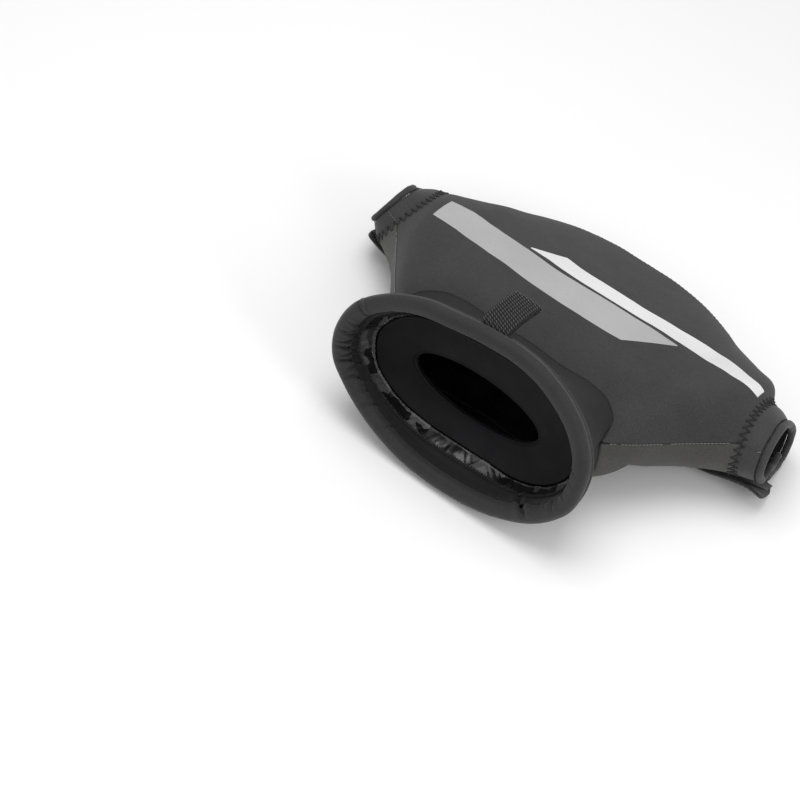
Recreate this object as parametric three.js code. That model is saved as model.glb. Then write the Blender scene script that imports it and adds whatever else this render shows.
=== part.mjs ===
import * as THREE from 'three';

// A soft wrist-entry paddle mitt. X runs along the paddle shaft, Y from the wrist to the knuckles, Z up.
// Tables are in millimetres about the middle of the shaft line; the finished group stands on z = 0.

const WALL = 3.0;          // foam sheet of the body and collar
const GAP = 0.4;           // open line along every seam
const SLOT = 1.0;          // open line of the closure under the shaft
const CORNER = 94;         // row at which the neck seam turns into the wrist-side seam
const RING_ROW = 137;      // last row, in the plane of each sleeve's zigzag
const SIDE_A = -1;         // sleeve at -X
const SIDE_B = 1;          // sleeve at +X

// Oval sleeve mouths. aim is the outward direction, lean the turn of the long axis about the shaft.
const SLEEVE_R1 = 35.7;
const SLEEVE_R2 = 22.8;
const SLEEVE_LEAN = 158;
const SLEEVES = {
  a: { side: SIDE_A, centre: [-138, 0, 1], aim: [-0.88, 0.05, 0.45], length: 14, taper: 4.5, far: 5.5, low: 0, lip: 1.8, hide: 2, reach: -7 },
  b: { side: SIDE_B, centre: [136.5, 0, 0.5], aim: [0.965, 0.13, 0.1], length: 18.5, taper: 1, far: 5, low: 3, lip: 2.5, hide: 0, reach: 2.5 },
};
const WRIST_SEAM = 18;     // angles round the sleeve oval, degrees
const KNUCKLE_SEAM = 140;
const GUSSET_SEAM = 192;
const CLOSURE_SEAM = 283;
const CLOSURE_Y = -14;     // line of the closure at mid-length
const REST = -28.3;        // plane on which the flap lies flattened

// Wrist rim: an egg-shaped loop leaning back toward the knuckles.
const RIM_CENTRE = [0, -143.5, 30.2];
const RIM_LEAN = 13.2;
const ROLL_RADIUS = 5.6;
const BAND_WIDTH = 14;

const WEBBING_WIDTH = 19;
const WEBBING = 1.3;

const table = (columns, rows) => {
  const names = columns.split(' ');
  return rows.map((row) => Object.fromEntries(names.map((name, i) => [name, row[i]])));
};

// Half of the neck seam and wrist-side seam (w), upper knuckle seam (k) and lower knuckle seam (j); the other half mirrors it.
const EDGES = table('s wx wy wz kx ky kz jx jy jz', [
  [0, 0, -70, 34, 0, 82.6, 2.1, 0, 78.3, -22.5],
  [28, 25, -71, 33.5, 28, 81.9, 2, 28, 77, -22.5],
  [54, 50, -72.5, 35.5, 54, 77.5, 1, 54, 72.5, -22.5],
  [74, 66.5, -78.5, 35, 74, 69.5, 0.5, 74, 64.5, -23],
  [86, 75.5, -89, 33, 86, 63, 0.5, 86, 58, -23],
  [94, 78, -103.6, 29, 95, 58.5, 1, 94, 53.5, -23],
  [106, 92, -86, 25.5, 108, 51, 2, 107, 46.5, -22.5],
  [120, 110, -60, 21, 123, 41.5, 3.5, 121, 38.5, -20.5],
]);
// Leaving directions of the top panel at w and k.
const TOP_HANDLES = table('s wx wy wz kx ky kz', [
  [0, 0, 36, 8, 0, -42, 20],
  [28, 2, 36, 8, 0, -42, 20],
  [54, 5, 34, 7, 0, -40, 22],
  [74, 12, 27, 8, 0, -36, 26],
  [86, 12, 28, 10, 0, -33, 29],
  [94, 13, 38, 16, 0, -30, 32],
  [106, 6, 25, 20, 0, -25, 32],
  [120, -2, 14, 22, 1, -15, 29],
]);
// Lower neck seam and the leaving directions of the underside at it and at j.
const UNDER = table('s wx wy wz hx hy hz jx jy jz', [
  [0, 0, -92, -24.5, 0, 36, 2, 0, -36, -3],
  [28, 29, -93, -24.5, 0, 36, 2, 0, -36, -3],
  [54, 55, -95, -22, 3, 35, -1, 0, -34, -3],
  [74, 71.5, -99, -12, 11, 26, -11, 0, -30, -3],
  [86, 79.5, -102.5, 8, 13.5, 14.5, -29, 0, -28, -3],
  [94, 78, -103.6, 29, 16, 5.6, -46, 0, -26, -4],
  [106, 92, -86, 25.5, 6, -8, -42.5, 0, -24, -6],
  [120, 110, -60, 21, 2, -12, -38, 0, -20, -12],
]);
// Collar: rim angle that each row meets and its leaving direction at the neck.
const COLLAR_TOP = table('s angle dx dy dz', [
  [0, 90, 0, -58, 22],
  [28, 72, 0, -58, 22],
  [54, 53, 1, -52, 18],
  [74, 36, 0, -44, 10],
  [86, 19, -2, -36, 4],
  [94, 0, -3, -32, 0],
]);
const COLLAR_UNDER = table('s angle dx dy dz', [
  [0, -90, 0, -52, 0],
  [28, -72, 0, -52, 0],
  [54, -52, 1, -48, -2],
  [74, -34, 0, -40, -4],
  [86, -17, -2, -36, -2],
  [94, 0, -3, -32, 0],
]);
// Outer outline of the wrist rim in its own plane.
const RIM = table('angle x h', [
  [0, 93, 0], [16, 89, 19], [34, 74, 39], [54, 48, 54.5], [72, 25, 59.5], [90, 0, 59], [108, -25, 55.5],
  [126, -48, 50.5], [146, -72, 38], [164, -89, 20], [180, -94.5, 0], [196, -90, -20],
  [214, -73, -35.5], [234, -48, -49.5], [252, -24, -57], [270, 0, -59.3], [288, 25, -58],
  [308, 51, -52], [328, 76, -38], [344, 90, -20],
]);
// Printed stripes on the top panel: each row gives a point of the wrist-side edge (ls, lt) and of the knuckle-side edge (hs, ht).
const STRIPE_WIDE = table('ls lt hs ht', [
  [-117.37, 0.4524, -115.39, 0.6546], [-107.8, 0.4848, -108.89, 0.6668], [-98.1, 0.4954, -99.81, 0.6606],
  [-93.38, 0.4934, -96.19, 0.6521], [-88.11, 0.4764, -92.79, 0.6455], [-82.77, 0.4556, -89.52, 0.6388],
  [-77.68, 0.4331, -85.93, 0.6293], [-69.5, 0.3992, -77.49, 0.5973], [-62.27, 0.3741, -68.72, 0.565],
  [-44.86, 0.3401, -53.65, 0.5264], [-26.86, 0.3291, -37.73, 0.5058], [-7.79, 0.3171, -21.85, 0.4967],
  [10.26, 0.3217, -5.87, 0.4968], [27.57, 0.3346, 9.57, 0.505], [40.7, 0.3384, 22.86, 0.5126],
  [49.28, 0.3987, 38.59, 0.5161], [57.99, 0.4741, 53.76, 0.5273], [65.44, 0.5471, 65.54, 0.5543],
]);
const STRIPE_NARROW = table('ls lt hs ht', [
  [-51.74, 0.5416, -51.97, 0.5488], [-44.83, 0.537, -45.31, 0.5655], [-37.11, 0.5342, -38.32, 0.5899],
  [-25.94, 0.522, -31.27, 0.6151], [-10.75, 0.5125, -15.74, 0.6005], [7.05, 0.5176, 3.72, 0.5952],
  [24.26, 0.5293, 21.16, 0.6039], [41.18, 0.5388, 37.91, 0.6173], [57.88, 0.5577, 54.3, 0.6412],
  [65.82, 0.5771, 62.19, 0.6599], [74.07, 0.6018, 70, 0.6841], [79.23, 0.6214, 74.94, 0.7014],
  [84.78, 0.6418, 80.13, 0.7229], [92.37, 0.6534, 86.96, 0.7441], [101.24, 0.6532, 95.92, 0.7503],
  [110.76, 0.6356, 105.88, 0.7425], [120, 0.6058, 117.11, 0.6971], [129.16, 0.5966, 127.48, 0.7032],
]);

// ---- small vector kit
const add = (a, b) => a.map((v, i) => v + b[i]);
const sub = (a, b) => a.map((v, i) => v - b[i]);
const mul = (a, k) => a.map((v) => v * k);
const dot = (a, b) => a[0] * b[0] + a[1] * b[1] + a[2] * b[2];
const cross = (a, b) => [a[1] * b[2] - a[2] * b[1], a[2] * b[0] - a[0] * b[2], a[0] * b[1] - a[1] * b[0]];
const len = (a) => Math.sqrt(dot(a, a));
const unit = (a) => mul(a, 1 / (len(a) || 1));
const lerp = (a, b, t) => a + (b - a) * t;
const rad = (d) => (d * Math.PI) / 180;
const clamp = (v, lo, hi) => Math.min(hi, Math.max(lo, v));

// Smooth curve through rows of numbers; the first `sharp` numbers may turn sharply at the knots listed.
function spline(knots, values, corners = [], sharp = 0) {
  const n = knots.length;
  const slope = (i) => mul(sub(values[i + 1], values[i]), 1 / (knots[i + 1] - knots[i]));
  const tangent = (i, ahead) => {
    if (i === 0) return slope(0);
    if (i === n - 1) return slope(n - 2);
    const before = slope(i - 1);
    const after = slope(i);
    const h0 = knots[i] - knots[i - 1];
    const h1 = knots[i + 1] - knots[i];
    const kinked = corners.includes(knots[i]);
    return before.map((b, c) => (kinked && c < sharp ? (ahead ? after[c] : b) : (b * h1 + after[c] * h0) / (h0 + h1)));
  };
  return (s) => {
    let i = 0;
    while (i < n - 2 && s > knots[i + 1]) i += 1;
    const h = knots[i + 1] - knots[i];
    const t = (s - knots[i]) / h;
    const m0 = tangent(i, true);
    const m1 = tangent(i + 1, false);
    return values[i].map((p, c) => (
      (2 * t ** 3 - 3 * t * t + 1) * p + (t ** 3 - 2 * t * t + t) * h * m0[c]
      + (3 * t * t - 2 * t ** 3) * values[i + 1][c] + (t ** 3 - t * t) * h * m1[c]));
  };
}
const bezier = (p, t) => {
  const a = 1 - t;
  return [0, 1, 2].map((c) => a ** 3 * p[c] + 3 * a * a * t * p[3 + c] + 3 * a * t * t * p[6 + c] + t ** 3 * p[9 + c]);
};

// ---- sleeve ovals
function sleeveFrame(sleeve) {
  const out = unit(sleeve.aim);
  const lean = rad(SLEEVE_LEAN);
  const d = [0, Math.cos(lean), Math.sin(lean)];
  const a1 = unit(sub(d, mul(out, dot(d, out))));
  const a2 = mul(cross(out, a1), -sleeve.side);
  return { out, a1, a2, centre: sleeve.centre, side: sleeve.side };
}
const FRAMES = { a: sleeveFrame(SLEEVES.a), b: sleeveFrame(SLEEVES.b) };
const ARCS = [[WRIST_SEAM, KNUCKLE_SEAM], [KNUCKLE_SEAM, GUSSET_SEAM], [GUSSET_SEAM, WRIST_SEAM + 360]];
function ovalArc(from, to, r1, r2) {
  const f = rad(from);
  const g = rad(to);
  const k = (4 / 3) * Math.tan((g - f) / 4);
  const p0 = [r1 * Math.cos(f), r2 * Math.sin(f)];
  const p3 = [r1 * Math.cos(g), r2 * Math.sin(g)];
  return [p0, [p0[0] - k * r1 * Math.sin(f), p0[1] + k * r2 * Math.cos(f)],
    [p3[0] + k * r1 * Math.sin(g), p3[1] - k * r2 * Math.cos(g)], p3];
}
function oval(angle, grow = 0) {
  const a = angle < WRIST_SEAM ? angle + 360 : angle >= WRIST_SEAM + 360 ? angle - 360 : angle;
  const [from, to] = ARCS.find(([f, t]) => a >= f && a <= t);
  const p = ovalArc(from, to, SLEEVE_R1 + grow, SLEEVE_R2 + grow);
  const t = (a - from) / (to - from);
  const b = 1 - t;
  return [0, 1].map((c) => b ** 3 * p[0][c] + 3 * b * b * t * p[1][c] + 3 * b * t * t * p[2][c] + t ** 3 * p[3][c]);
}
const onSleeve = (f, p, along = 0) => add(add(add(f.centre, mul(f.out, along)), mul(f.a1, p[0])), mul(f.a2, p[1]));
const sleevePoint = (f, angle, grow, along) => onSleeve(f, oval(angle, grow), along);

// ---- body rows
function bodyRows(half, ring) {
  const mirrored = half.slice(1).reverse().map(({ s, p }) => ({ s: -s, p: p.map((v, i) => (i % 3 === 0 ? -v : v)) }));
  return [{ s: -RING_ROW, p: ring('a') }, ...mirrored, ...half, { s: RING_ROW, p: ring('b') }];
}
// The fabric stands fuller by sleeve B and lies flatter by sleeve A along the upper knuckle seam.
function settle(list, starts) {
  return list.map(({ s, p }) => {
    if (Math.abs(s) === RING_ROW) return { s, p };
    const share = Math.max(0, Math.abs(s) - 90) / 30;
    const [y, z] = s < 0 ? [-3 * share, -3 * share] : [3 * share, 2 * share];
    const q = [...p];
    for (const i of starts) {
      q[i + 1] += y;
      q[i + 2] += z;
    }
    return { s, p: q };
  });
}
function ringArc(name, from, to, backward = false) {
  const arc = ovalArc(from, to, SLEEVE_R1, SLEEVE_R2).map((p) => onSleeve(FRAMES[name], p));
  return (backward ? arc.reverse() : arc).flat();
}
const rowSpline = (rows, corners, sharp) => spline(rows.map((r) => r.s), rows.map((r) => r.p), corners, sharp);
const CORNERS = [-CORNER, CORNER];

const topRows = rowSpline(settle(bodyRows(EDGES.map((e, i) => {
  const h = TOP_HANDLES[i];
  const w = [e.wx, e.wy, e.wz];
  const k = [e.kx, e.ky, e.kz];
  return { s: e.s, p: [...w, ...add(w, [h.wx, h.wy, h.wz]), ...add(k, [h.kx, h.ky, h.kz]), ...k] };
}), (n) => ringArc(n, WRIST_SEAM, KNUCKLE_SEAM)), [9, 6]), CORNERS, 3);
const gussetRows = rowSpline(settle(bodyRows(EDGES.map((e) => {
  const k = [e.kx, e.ky, e.kz];
  const j = [e.jx, e.jy, e.jz];
  return { s: e.s, p: [...k, ...add(k, [0, 3.5, -7]), ...add(j, [0, 4.5, 6]), ...j] };
}), (n) => ringArc(n, KNUCKLE_SEAM, GUSSET_SEAM)), [0, 3]));
const underRows = rowSpline(bodyRows(UNDER.map((u, i) => {
  const e = EDGES[i];
  const w = [u.wx, u.wy, u.wz];
  const j = [e.jx, e.jy, e.jz];
  return { s: u.s, p: [...w, ...add(w, [u.hx, u.hy, u.hz]), ...add(j, [u.jx, u.jy, u.jz]), ...j] };
}), (n) => ringArc(n, GUSSET_SEAM, WRIST_SEAM + 360, true)), CORNERS, 3);
const top = (s, t) => bezier(topRows(s), t);
const gusset = (s, t) => bezier(gussetRows(s), t);
const under = (s, t) => bezier(underRows(s), t);
// The closure runs straight below the shaft: its share of the underside is solved for the line's y.
const closureY = (s) => {
  const f = FRAMES[s < 0 ? 'a' : 'b'];
  return lerp(CLOSURE_Y, sleevePoint(f, CLOSURE_SEAM, 0, 0)[1], (Math.abs(s) / RING_ROW) ** 2);
};
const splits = new Map();
function splitAt(s) {
  if (!splits.has(s)) {
    let lo = 0.25;
    let hi = 0.9;
    for (let i = 0; i < 30; i += 1) {
      const mid = (lo + hi) / 2;
      if (under(s, mid)[1] < closureY(s)) lo = mid;
      else hi = mid;
    }
    splits.set(s, (lo + hi) / 2);
  }
  return splits.get(s);
}

// ---- rim plane and collar
const RIM_UP = [0, Math.sin(rad(RIM_LEAN)), Math.cos(rad(RIM_LEAN))];
const RIM_IN = [0, Math.cos(rad(RIM_LEAN)), -Math.sin(rad(RIM_LEAN))];
const inRim = (x, h, depth) => add(add(add(RIM_CENTRE, [x, 0, 0]), mul(RIM_UP, h)), mul(RIM_IN, depth));
const roundRows = (ring) => {
  const rows = [...ring.slice(-3).map((r) => ({ ...r, angle: r.angle - 360 })), ...ring,
    ...ring.slice(0, 4).map((r) => ({ ...r, angle: r.angle + 360 }))];
  return spline(rows.map((r) => r.angle), rows.map((r) => [r.x, r.h, 0]));
};
const rimRows = roundRows(RIM);
const rimLoop = (angle) => rimRows(((angle % 360) + 360) % 360);
function rimOut(angle) {
  const d = sub(rimLoop(angle + 0.5), rimLoop(angle - 0.5));
  return unit([d[1], -d[0], 0]);
}
function rimPoint(angle, inset, depth) {
  const p = sub(rimLoop(angle), mul(rimOut(angle), inset));
  return inRim(p[0], p[1], depth);
}
const COLLAR_INSET = 0.7;
function collarRows(rows) {
  const full = [...rows.slice(1).reverse().map((r) => ({ s: -r.s, p: [180 * Math.sign(rows[0].angle) - r.angle, -r.dx, r.dy, r.dz] })),
    ...rows.map((r) => ({ s: r.s, p: [r.angle, r.dx, r.dy, r.dz] }))];
  return rowSpline(full);
}
function collarSheet(edge, rows) {
  return (s, v) => {
    const [angle, ...leave] = rows(s);
    const p0 = edge(s, 0);
    const out = rimOut(angle);
    const lift = Math.max(0, out[1]);
    const side = Math.abs(out[0]);
    const flare = 4 + 52 * lift + 20 * side * (1 - lift);
    const run = lerp(lerp(40, 30, side), 22, lift);
    const p1 = rimPoint(angle, COLLAR_INSET + 2.5 * lift, ROLL_RADIUS + 0.4 + (WALL * flare) / Math.hypot(flare, run));
    const m1 = add(add(mul([1, 0, 0], out[0] * flare), mul(RIM_UP, out[1] * flare)), mul(RIM_IN, -run));
    const a = 2 * v ** 3 - 3 * v * v + 1;
    const b = v ** 3 - 2 * v * v + v;
    return p0.map((p, c) => a * p + b * leave[c] + (1 - a) * p1[c] + (v ** 3 - v * v) * m1[c]);
  };
}
const collarTop = collarSheet(top, collarRows(COLLAR_TOP));
const collarUnder = collarSheet(under, collarRows(COLLAR_UNDER));

// ---- closed sheets
const STEP = 1e-3;
function normalOf(surface, u, v, sense, uStep) {
  const du = sub(surface(u + uStep, v), surface(u - uStep, v));
  const dv = sub(surface(u, v + STEP), surface(u, v - STEP));
  return mul(unit(cross(du, dv)), sense);
}
const mitre = (a, b) => {
  const m = unit(add(a, b));
  return mul(m, 1 / clamp(dot(m, a), 0.72, 1));
};
const inPlane = (n, axis) => {
  const flat = sub(n, mul(axis, dot(n, axis)));
  return mul(unit(flat), 1);
};
const spread = (from, to, count) => Array.from({ length: count + 1 }, (_, i) => from + ((to - from) * i) / count);

function mesh(name, geometry, material) {
  const m = new THREE.Mesh(geometry, material);
  m.name = name;
  return m;
}
// Joins an outer and an inner grid of points into one closed body; wrapU closes the grid on itself.
function closedBody(outer, inner, wrapU = false) {
  const nu = outer.length;
  const nv = outer[0].length;
  const points = [...outer.flat(), ...inner.flat()];
  const at = (side, i, j) => side * nu * nv + (i % nu) * nv + j;
  const index = [];
  const quad = (a, b, c, d) => index.push(a, b, c, a, c, d);
  const lastU = wrapU ? nu : nu - 1;
  for (let i = 0; i < lastU; i += 1) {
    for (let j = 0; j < nv - 1; j += 1) {
      quad(at(0, i, j), at(0, i + 1, j), at(0, i + 1, j + 1), at(0, i, j + 1));
      quad(at(1, i, j), at(1, i, j + 1), at(1, i + 1, j + 1), at(1, i + 1, j));
    }
    quad(at(1, i, 0), at(1, i + 1, 0), at(0, i + 1, 0), at(0, i, 0));
    quad(at(0, i, nv - 1), at(0, i + 1, nv - 1), at(1, i + 1, nv - 1), at(1, i, nv - 1));
  }
  if (!wrapU) {
    for (let j = 0; j < nv - 1; j += 1) {
      quad(at(0, 0, j), at(0, 0, j + 1), at(1, 0, j + 1), at(1, 0, j));
      quad(at(1, nu - 1, j), at(1, nu - 1, j + 1), at(0, nu - 1, j + 1), at(0, nu - 1, j));
    }
  }
  return solid(points, index);
}
// Tube of closed loops joined end to start.
function ringBody(loops) {
  const nu = loops.length;
  const nv = loops[0].length;
  const index = [];
  for (let i = 0; i < nu; i += 1) {
    for (let j = 0; j < nv; j += 1) {
      const a = i * nv + j;
      const b = ((i + 1) % nu) * nv + j;
      const c = ((i + 1) % nu) * nv + ((j + 1) % nv);
      const d = i * nv + ((j + 1) % nv);
      index.push(a, b, c, a, c, d);
    }
  }
  return solid(loops.flat(), index);
}
// Run of closed loops with flat end caps.
function cappedBody(loops) {
  const nu = loops.length;
  const nv = loops[0].length;
  const index = [];
  for (let i = 0; i < nu - 1; i += 1) {
    for (let j = 0; j < nv; j += 1) {
      const k = (j + 1) % nv;
      index.push(i * nv + j, (i + 1) * nv + j, (i + 1) * nv + k, i * nv + j, (i + 1) * nv + k, i * nv + k);
    }
  }
  for (let j = 1; j < nv - 1; j += 1) {
    index.push(0, j, j + 1);
    const e = (nu - 1) * nv;
    index.push(e, e + j + 1, e + j);
  }
  return solid(loops.flat(), index);
}
function solid(points, index) {
  let volume = 0;
  for (let i = 0; i < index.length; i += 3) volume += dot(points[index[i]], cross(points[index[i + 1]], points[index[i + 2]]));
  const order = volume < 0 ? index.map((_, i) => index[i % 3 === 1 ? i + 1 : i % 3 === 2 ? i - 1 : i]) : index;
  const g = new THREE.BufferGeometry();
  g.setAttribute('position', new THREE.Float32BufferAttribute(points.flat(), 3));
  g.setIndex(order);
  return g;
}

// Foam sheet over surface(u, v): edge0 and edge1 give the shared mitre at the two v ends, ends the plane at the two u ends.
function foamSheet({ surface, us, nv, v0 = () => 0, v1 = () => 1, sense, edge0, edge1, ends = [], wall = WALL, lift = 0, uStep = 0.05, cut0 = true, cut1 = true, cornerCut = false, gap0 = GAP, gap1 = GAP }) {
  const outer = [];
  const inner = [];
  us.forEach((u, i) => {
    const a = v0(u);
    const b = v1(u);
    const pace = (v, dv) => {
      const along = unit(sub(surface(u + uStep, v), surface(u - uStep, v)));
      return Math.max(4, len(cross(along, sub(surface(u, v + dv), surface(u, v)))) / STEP);
    };
    const pace0 = pace(a, STEP);
    const pace1 = pace(b, -STEP);
    const wide = cornerCut ? 0.4 * Math.max(0, 1 - Math.abs(Math.abs(u) - CORNER) / 6) : 0;
    const from = a + (cut0 ? (gap0 / 2 + wide) / pace0 : 0);
    const to = b - (cut1 ? gap1 / 2 / pace1 : 0);
    const o = [];
    const n = [];
    for (let j = 0; j <= nv; j += 1) {
      const v = lerp(from, to, j / nv);
      let normal = normalOf(surface, u, v, sense, uStep);
      if (j === 0 && edge0) normal = edge0(u);
      if (j === nv && edge1) normal = edge1(u);
      const end = i === 0 ? ends[0] : i === us.length - 1 ? ends[1] : null;
      if (end) normal = end(v, normal, u);
      const p = surface(u, v);
      o.push(add(p, mul(normal, lift)));
      n.push(add(p, mul(normal, lift - wall)));
    }
    outer.push(o);
    inner.push(n);
  });
  return { outer, inner };
}

const END = RING_ROW - GAP / 2;
const normals = {
  top: (s, t) => normalOf(top, s, t, 1, 0.05),
  gusset: (s, t) => normalOf(gusset, s, t, 1, 0.05),
  under: (s, t) => normalOf(under, s, t, -1, 0.05),
  collarTop: (s, t) => normalOf(collarTop, s, t, -1, 0.05),
  collarUnder: (s, t) => normalOf(collarUnder, s, t, 1, 0.05),
};
const nearEdge = 0.002;
const seamKnuckle = (s) => mitre(normals.top(s, 1 - nearEdge), normals.gusset(s, nearEdge));
const seamGusset = (s) => mitre(normals.gusset(s, 1 - nearEdge), normals.under(s, 1 - nearEdge));
const seamWrist = (s) => mitre(normals.top(s, nearEdge), normals.under(s, nearEdge));
const seamNeckTop = (s) => mitre(normals.top(s, nearEdge), normals.collarTop(s, nearEdge));
const seamNeckUnder = (s) => mitre(normals.under(s, nearEdge), normals.collarUnder(s, nearEdge));
// Four sheets meet at each corner, so their mitres run into one shared direction there.
const cornerVec = [SIDE_A, SIDE_B].map((side) => mul(unit(['top', 'under', 'collarTop', 'collarUnder'].reduce(
  (sum, name) => add(sum, normals[name](side * (CORNER + (name.startsWith('collar') ? -0.5 : 0.5)), 0.02)), [0, 0, 0],
)), 1.2));
const nearCorner = (s) => Math.max(0, 1 - Math.abs(Math.abs(s) - CORNER) / 9);
const blendCorner = (s, m, w) => add(mul(m, 1 - w), mul(cornerVec[s < 0 ? 0 : 1], w));
const cornered = (seam) => (s) => blendCorner(s, seam(s), nearCorner(s));
const topStart = cornered((s) => (Math.abs(s) >= CORNER ? seamWrist(s) : seamNeckTop(s)));
const underStart = cornered((s) => (Math.abs(s) >= CORNER ? seamWrist(s) : seamNeckUnder(s)));
const collarTopStart = cornered(seamNeckTop);
const collarUnderStart = cornered(seamNeckUnder);
const onRing = (f) => (v, n) => inPlane(n, f.out);
const collarSide = (side) => (v, n, s) => blendCorner(s, mitre(normals.collarTop(s, clamp(v, 0.01, 0.99)), normals.collarUnder(s, clamp(v, 0.01, 0.99))), Math.max(0, 1 - v / 0.2));

// ---- materials
const fabric = (color, roughness = 0.9, metalness = 0) => new THREE.MeshStandardMaterial({ color, roughness, metalness });
const PANEL = fabric(0x454545);
const COLLAR = fabric(0x3a3a3a);
const BELLY = fabric(0x4f4e49);
const BAND = fabric(0x3c3c3d);
const LINING = fabric(0x121214, 0.35);
const GASKET = fabric(0x1e1d21, 0.5);
const WEB = fabric(0x303032, 0.85);
const HOOK = fabric(0x141414, 0.98);
const SILVER = fabric(0xb4b6b5, 0.6);
const WHITE = fabric(0xe9e9e7, 0.7);

const group = new THREE.Group();
group.name = 'paddle_pogie_mitt';
const put = (name, geometry, material) => group.add(mesh(name, geometry, material));
const putSheet = (name, parts, material) => put(name, closedBody(parts.outer, parts.inner), material);

const half = [0, 14, 28, 41, 54, 64, 74, 80, 86, 90, CORNER, 99, 105, 112, 119, 126, 132, END];
const rows = [...half.slice(1).reverse().map((s) => -s), ...half];
const ends = [onRing(FRAMES.a), onRing(FRAMES.b)];
const middle = (v, n) => inPlane(n, [1, 0, 0]);
const seamClosure = (s) => normalOf(under, s, splitAt(s), -1, 5);

putSheet('top_panel', foamSheet({ surface: top, us: rows, nv: 11, sense: 1, edge0: topStart, edge1: seamKnuckle, ends, cornerCut: true }), PANEL);
putSheet('under_panel_knuckle', foamSheet({ surface: under, us: rows, nv: 6, v0: splitAt, gap0: SLOT, sense: -1, edge0: seamClosure, edge1: seamGusset, ends }), BELLY);
putSheet('under_panel_wrist', foamSheet({ surface: under, us: rows, nv: 6, v1: splitAt, gap1: SLOT, sense: -1, edge0: underStart, edge1: seamClosure, ends, cornerCut: true }), BELLY);
const gussetRun = half.map((s) => (s === 0 ? GAP / 2 : s));
putSheet('knuckle_gusset_b', foamSheet({ surface: gusset, us: gussetRun, nv: 4, sense: 1, edge0: seamKnuckle, edge1: seamGusset, ends: [middle, ends[1]] }), PANEL);
putSheet('knuckle_gusset_a', foamSheet({ surface: gusset, us: gussetRun.map((s) => -s).reverse(), nv: 4, sense: 1, edge0: seamKnuckle, edge1: seamGusset, ends: [ends[0], middle] }), PANEL);

// Collar and rim band share one surface, split a band's width below the rim.
const collarEnd = CORNER - 0.12;
const collarUs = [0, 14, 28, 41, 54, 64, 74, 80, 86, 90, collarEnd];
const collarRun = [...collarUs.slice(1).reverse().map((s) => -s), ...collarUs];
const bandStart = (surface) => (s) => {
  let v = 1;
  let run = 0;
  while (run < BAND_WIDTH && v > 0.2) {
    run += len(sub(surface(s, v), surface(s, v - 0.01)));
    v -= 0.01;
  }
  return v;
};
const sides = [collarSide(SIDE_A), collarSide(SIDE_B)];
putSheet('cuff_collar_top', foamSheet({ surface: collarTop, us: collarRun, nv: 5, v1: bandStart(collarTop), sense: -1, edge0: collarTopStart, ends: sides, cornerCut: true }), COLLAR);
putSheet('cuff_collar_under', foamSheet({ surface: collarUnder, us: collarRun, nv: 5, v1: bandStart(collarUnder), sense: 1, edge0: collarUnderStart, ends: sides, cornerCut: true }), COLLAR);
{
  const upper = foamSheet({ surface: collarTop, us: collarRun, nv: 3, v0: bandStart(collarTop), sense: -1 });
  const lower = foamSheet({ surface: collarUnder, us: collarRun, nv: 3, v0: bandStart(collarUnder), sense: 1 });
  const loop = (a, b) => [...a, ...b.slice().reverse()];
  put('rim_band', closedBody(loop(upper.outer, lower.outer), loop(upper.inner, lower.inner), true), BAND);
}

// Rolled rim
const ROUND = spread(0, 360, 60).slice(0, -1);
put('rim_roll', ringBody(ROUND.map((angle) => spread(0, 360, 8).slice(0, -1).map((a) => rimPoint(
  angle, ROLL_RADIUS + 0.2 - ROLL_RADIUS * Math.cos(rad(a)), (ROLL_RADIUS - 0.1) * Math.sin(rad(a)),
)))), BAND);

// Gathered facing and smooth gasket, both in the rim's own plane.
const GASKET_DEPTH = 21;
const GASKET_RING = table('angle x h', [
  [0, 75, -3], [16, 72, 9.5], [34, 61.5, 21], [54, 42.5, 29.8], [72, 22.5, 33], [90, 0, 33], [108, -22, 30.8],
  [126, -42, 27.5], [146, -60, 20.5], [164, -71.5, 8.5], [180, -75.8, -4], [196, -71, -19], [214, -60.5, -28.8],
  [234, -42.5, -35.8], [252, -21, -38.2], [270, 1, -38], [288, 22, -37.3], [308, 43.5, -36.4], [328, 63, -28], [344, 73, -15.5],
]);
const gasketRows = roundRows(GASKET_RING);
const gasketPoint = (angle, grow, depth) => {
  const at = (a) => gasketRows(((a % 360) + 360) % 360);
  const p = at(angle);
  const d = sub(at(angle + 0.5), at(angle - 0.5));
  const n = mul([d[1], -d[0]], 1 / Math.hypot(d[0], d[1]));
  return inRim(p[0] + n[0] * grow, p[1] + n[1] * grow, GASKET_DEPTH + depth);
};
const HOLE_LOOP = { x: -1, h: -5, a: 46, b: 15, depth: 25 };
const loopPoint = (loop, angle, grow, depth) => inRim(
  loop.x + (loop.a + grow) * Math.cos(rad(angle)), loop.h + (loop.b + grow) * Math.sin(rad(angle)), loop.depth + depth,
);
const facing = (angle, v, inward) => {
  const a = rimPoint(angle, 2 * ROLL_RADIUS - 1.6 + inward, ROLL_RADIUS + 0.5);
  const b = gasketPoint(angle, 2.2 - inward, 0);
  return add(mul(a, 1 - v), mul(b, v));
};
put('rim_facing', closedBody(ROUND.map((a) => spread(0, 1, 3).map((v) => facing(a, v, 0))), ROUND.map((a) => spread(0, 1, 3).map((v) => facing(a, v, 1.6))), true), LINING);
const gasketAt = (angle, v, back) => {
  const a = gasketPoint(angle, 0, back);
  const b = loopPoint(HOLE_LOOP, angle, 0, back);
  return add(mul(a, 1 - v), mul(b, v));
};
put('wrist_gasket', closedBody(ROUND.map((a) => spread(0, 1, 3).map((v) => gasketAt(a, v, 0))), ROUND.map((a) => spread(0, 1, 3).map((v) => gasketAt(a, v, 2))), true), GASKET);

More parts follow.
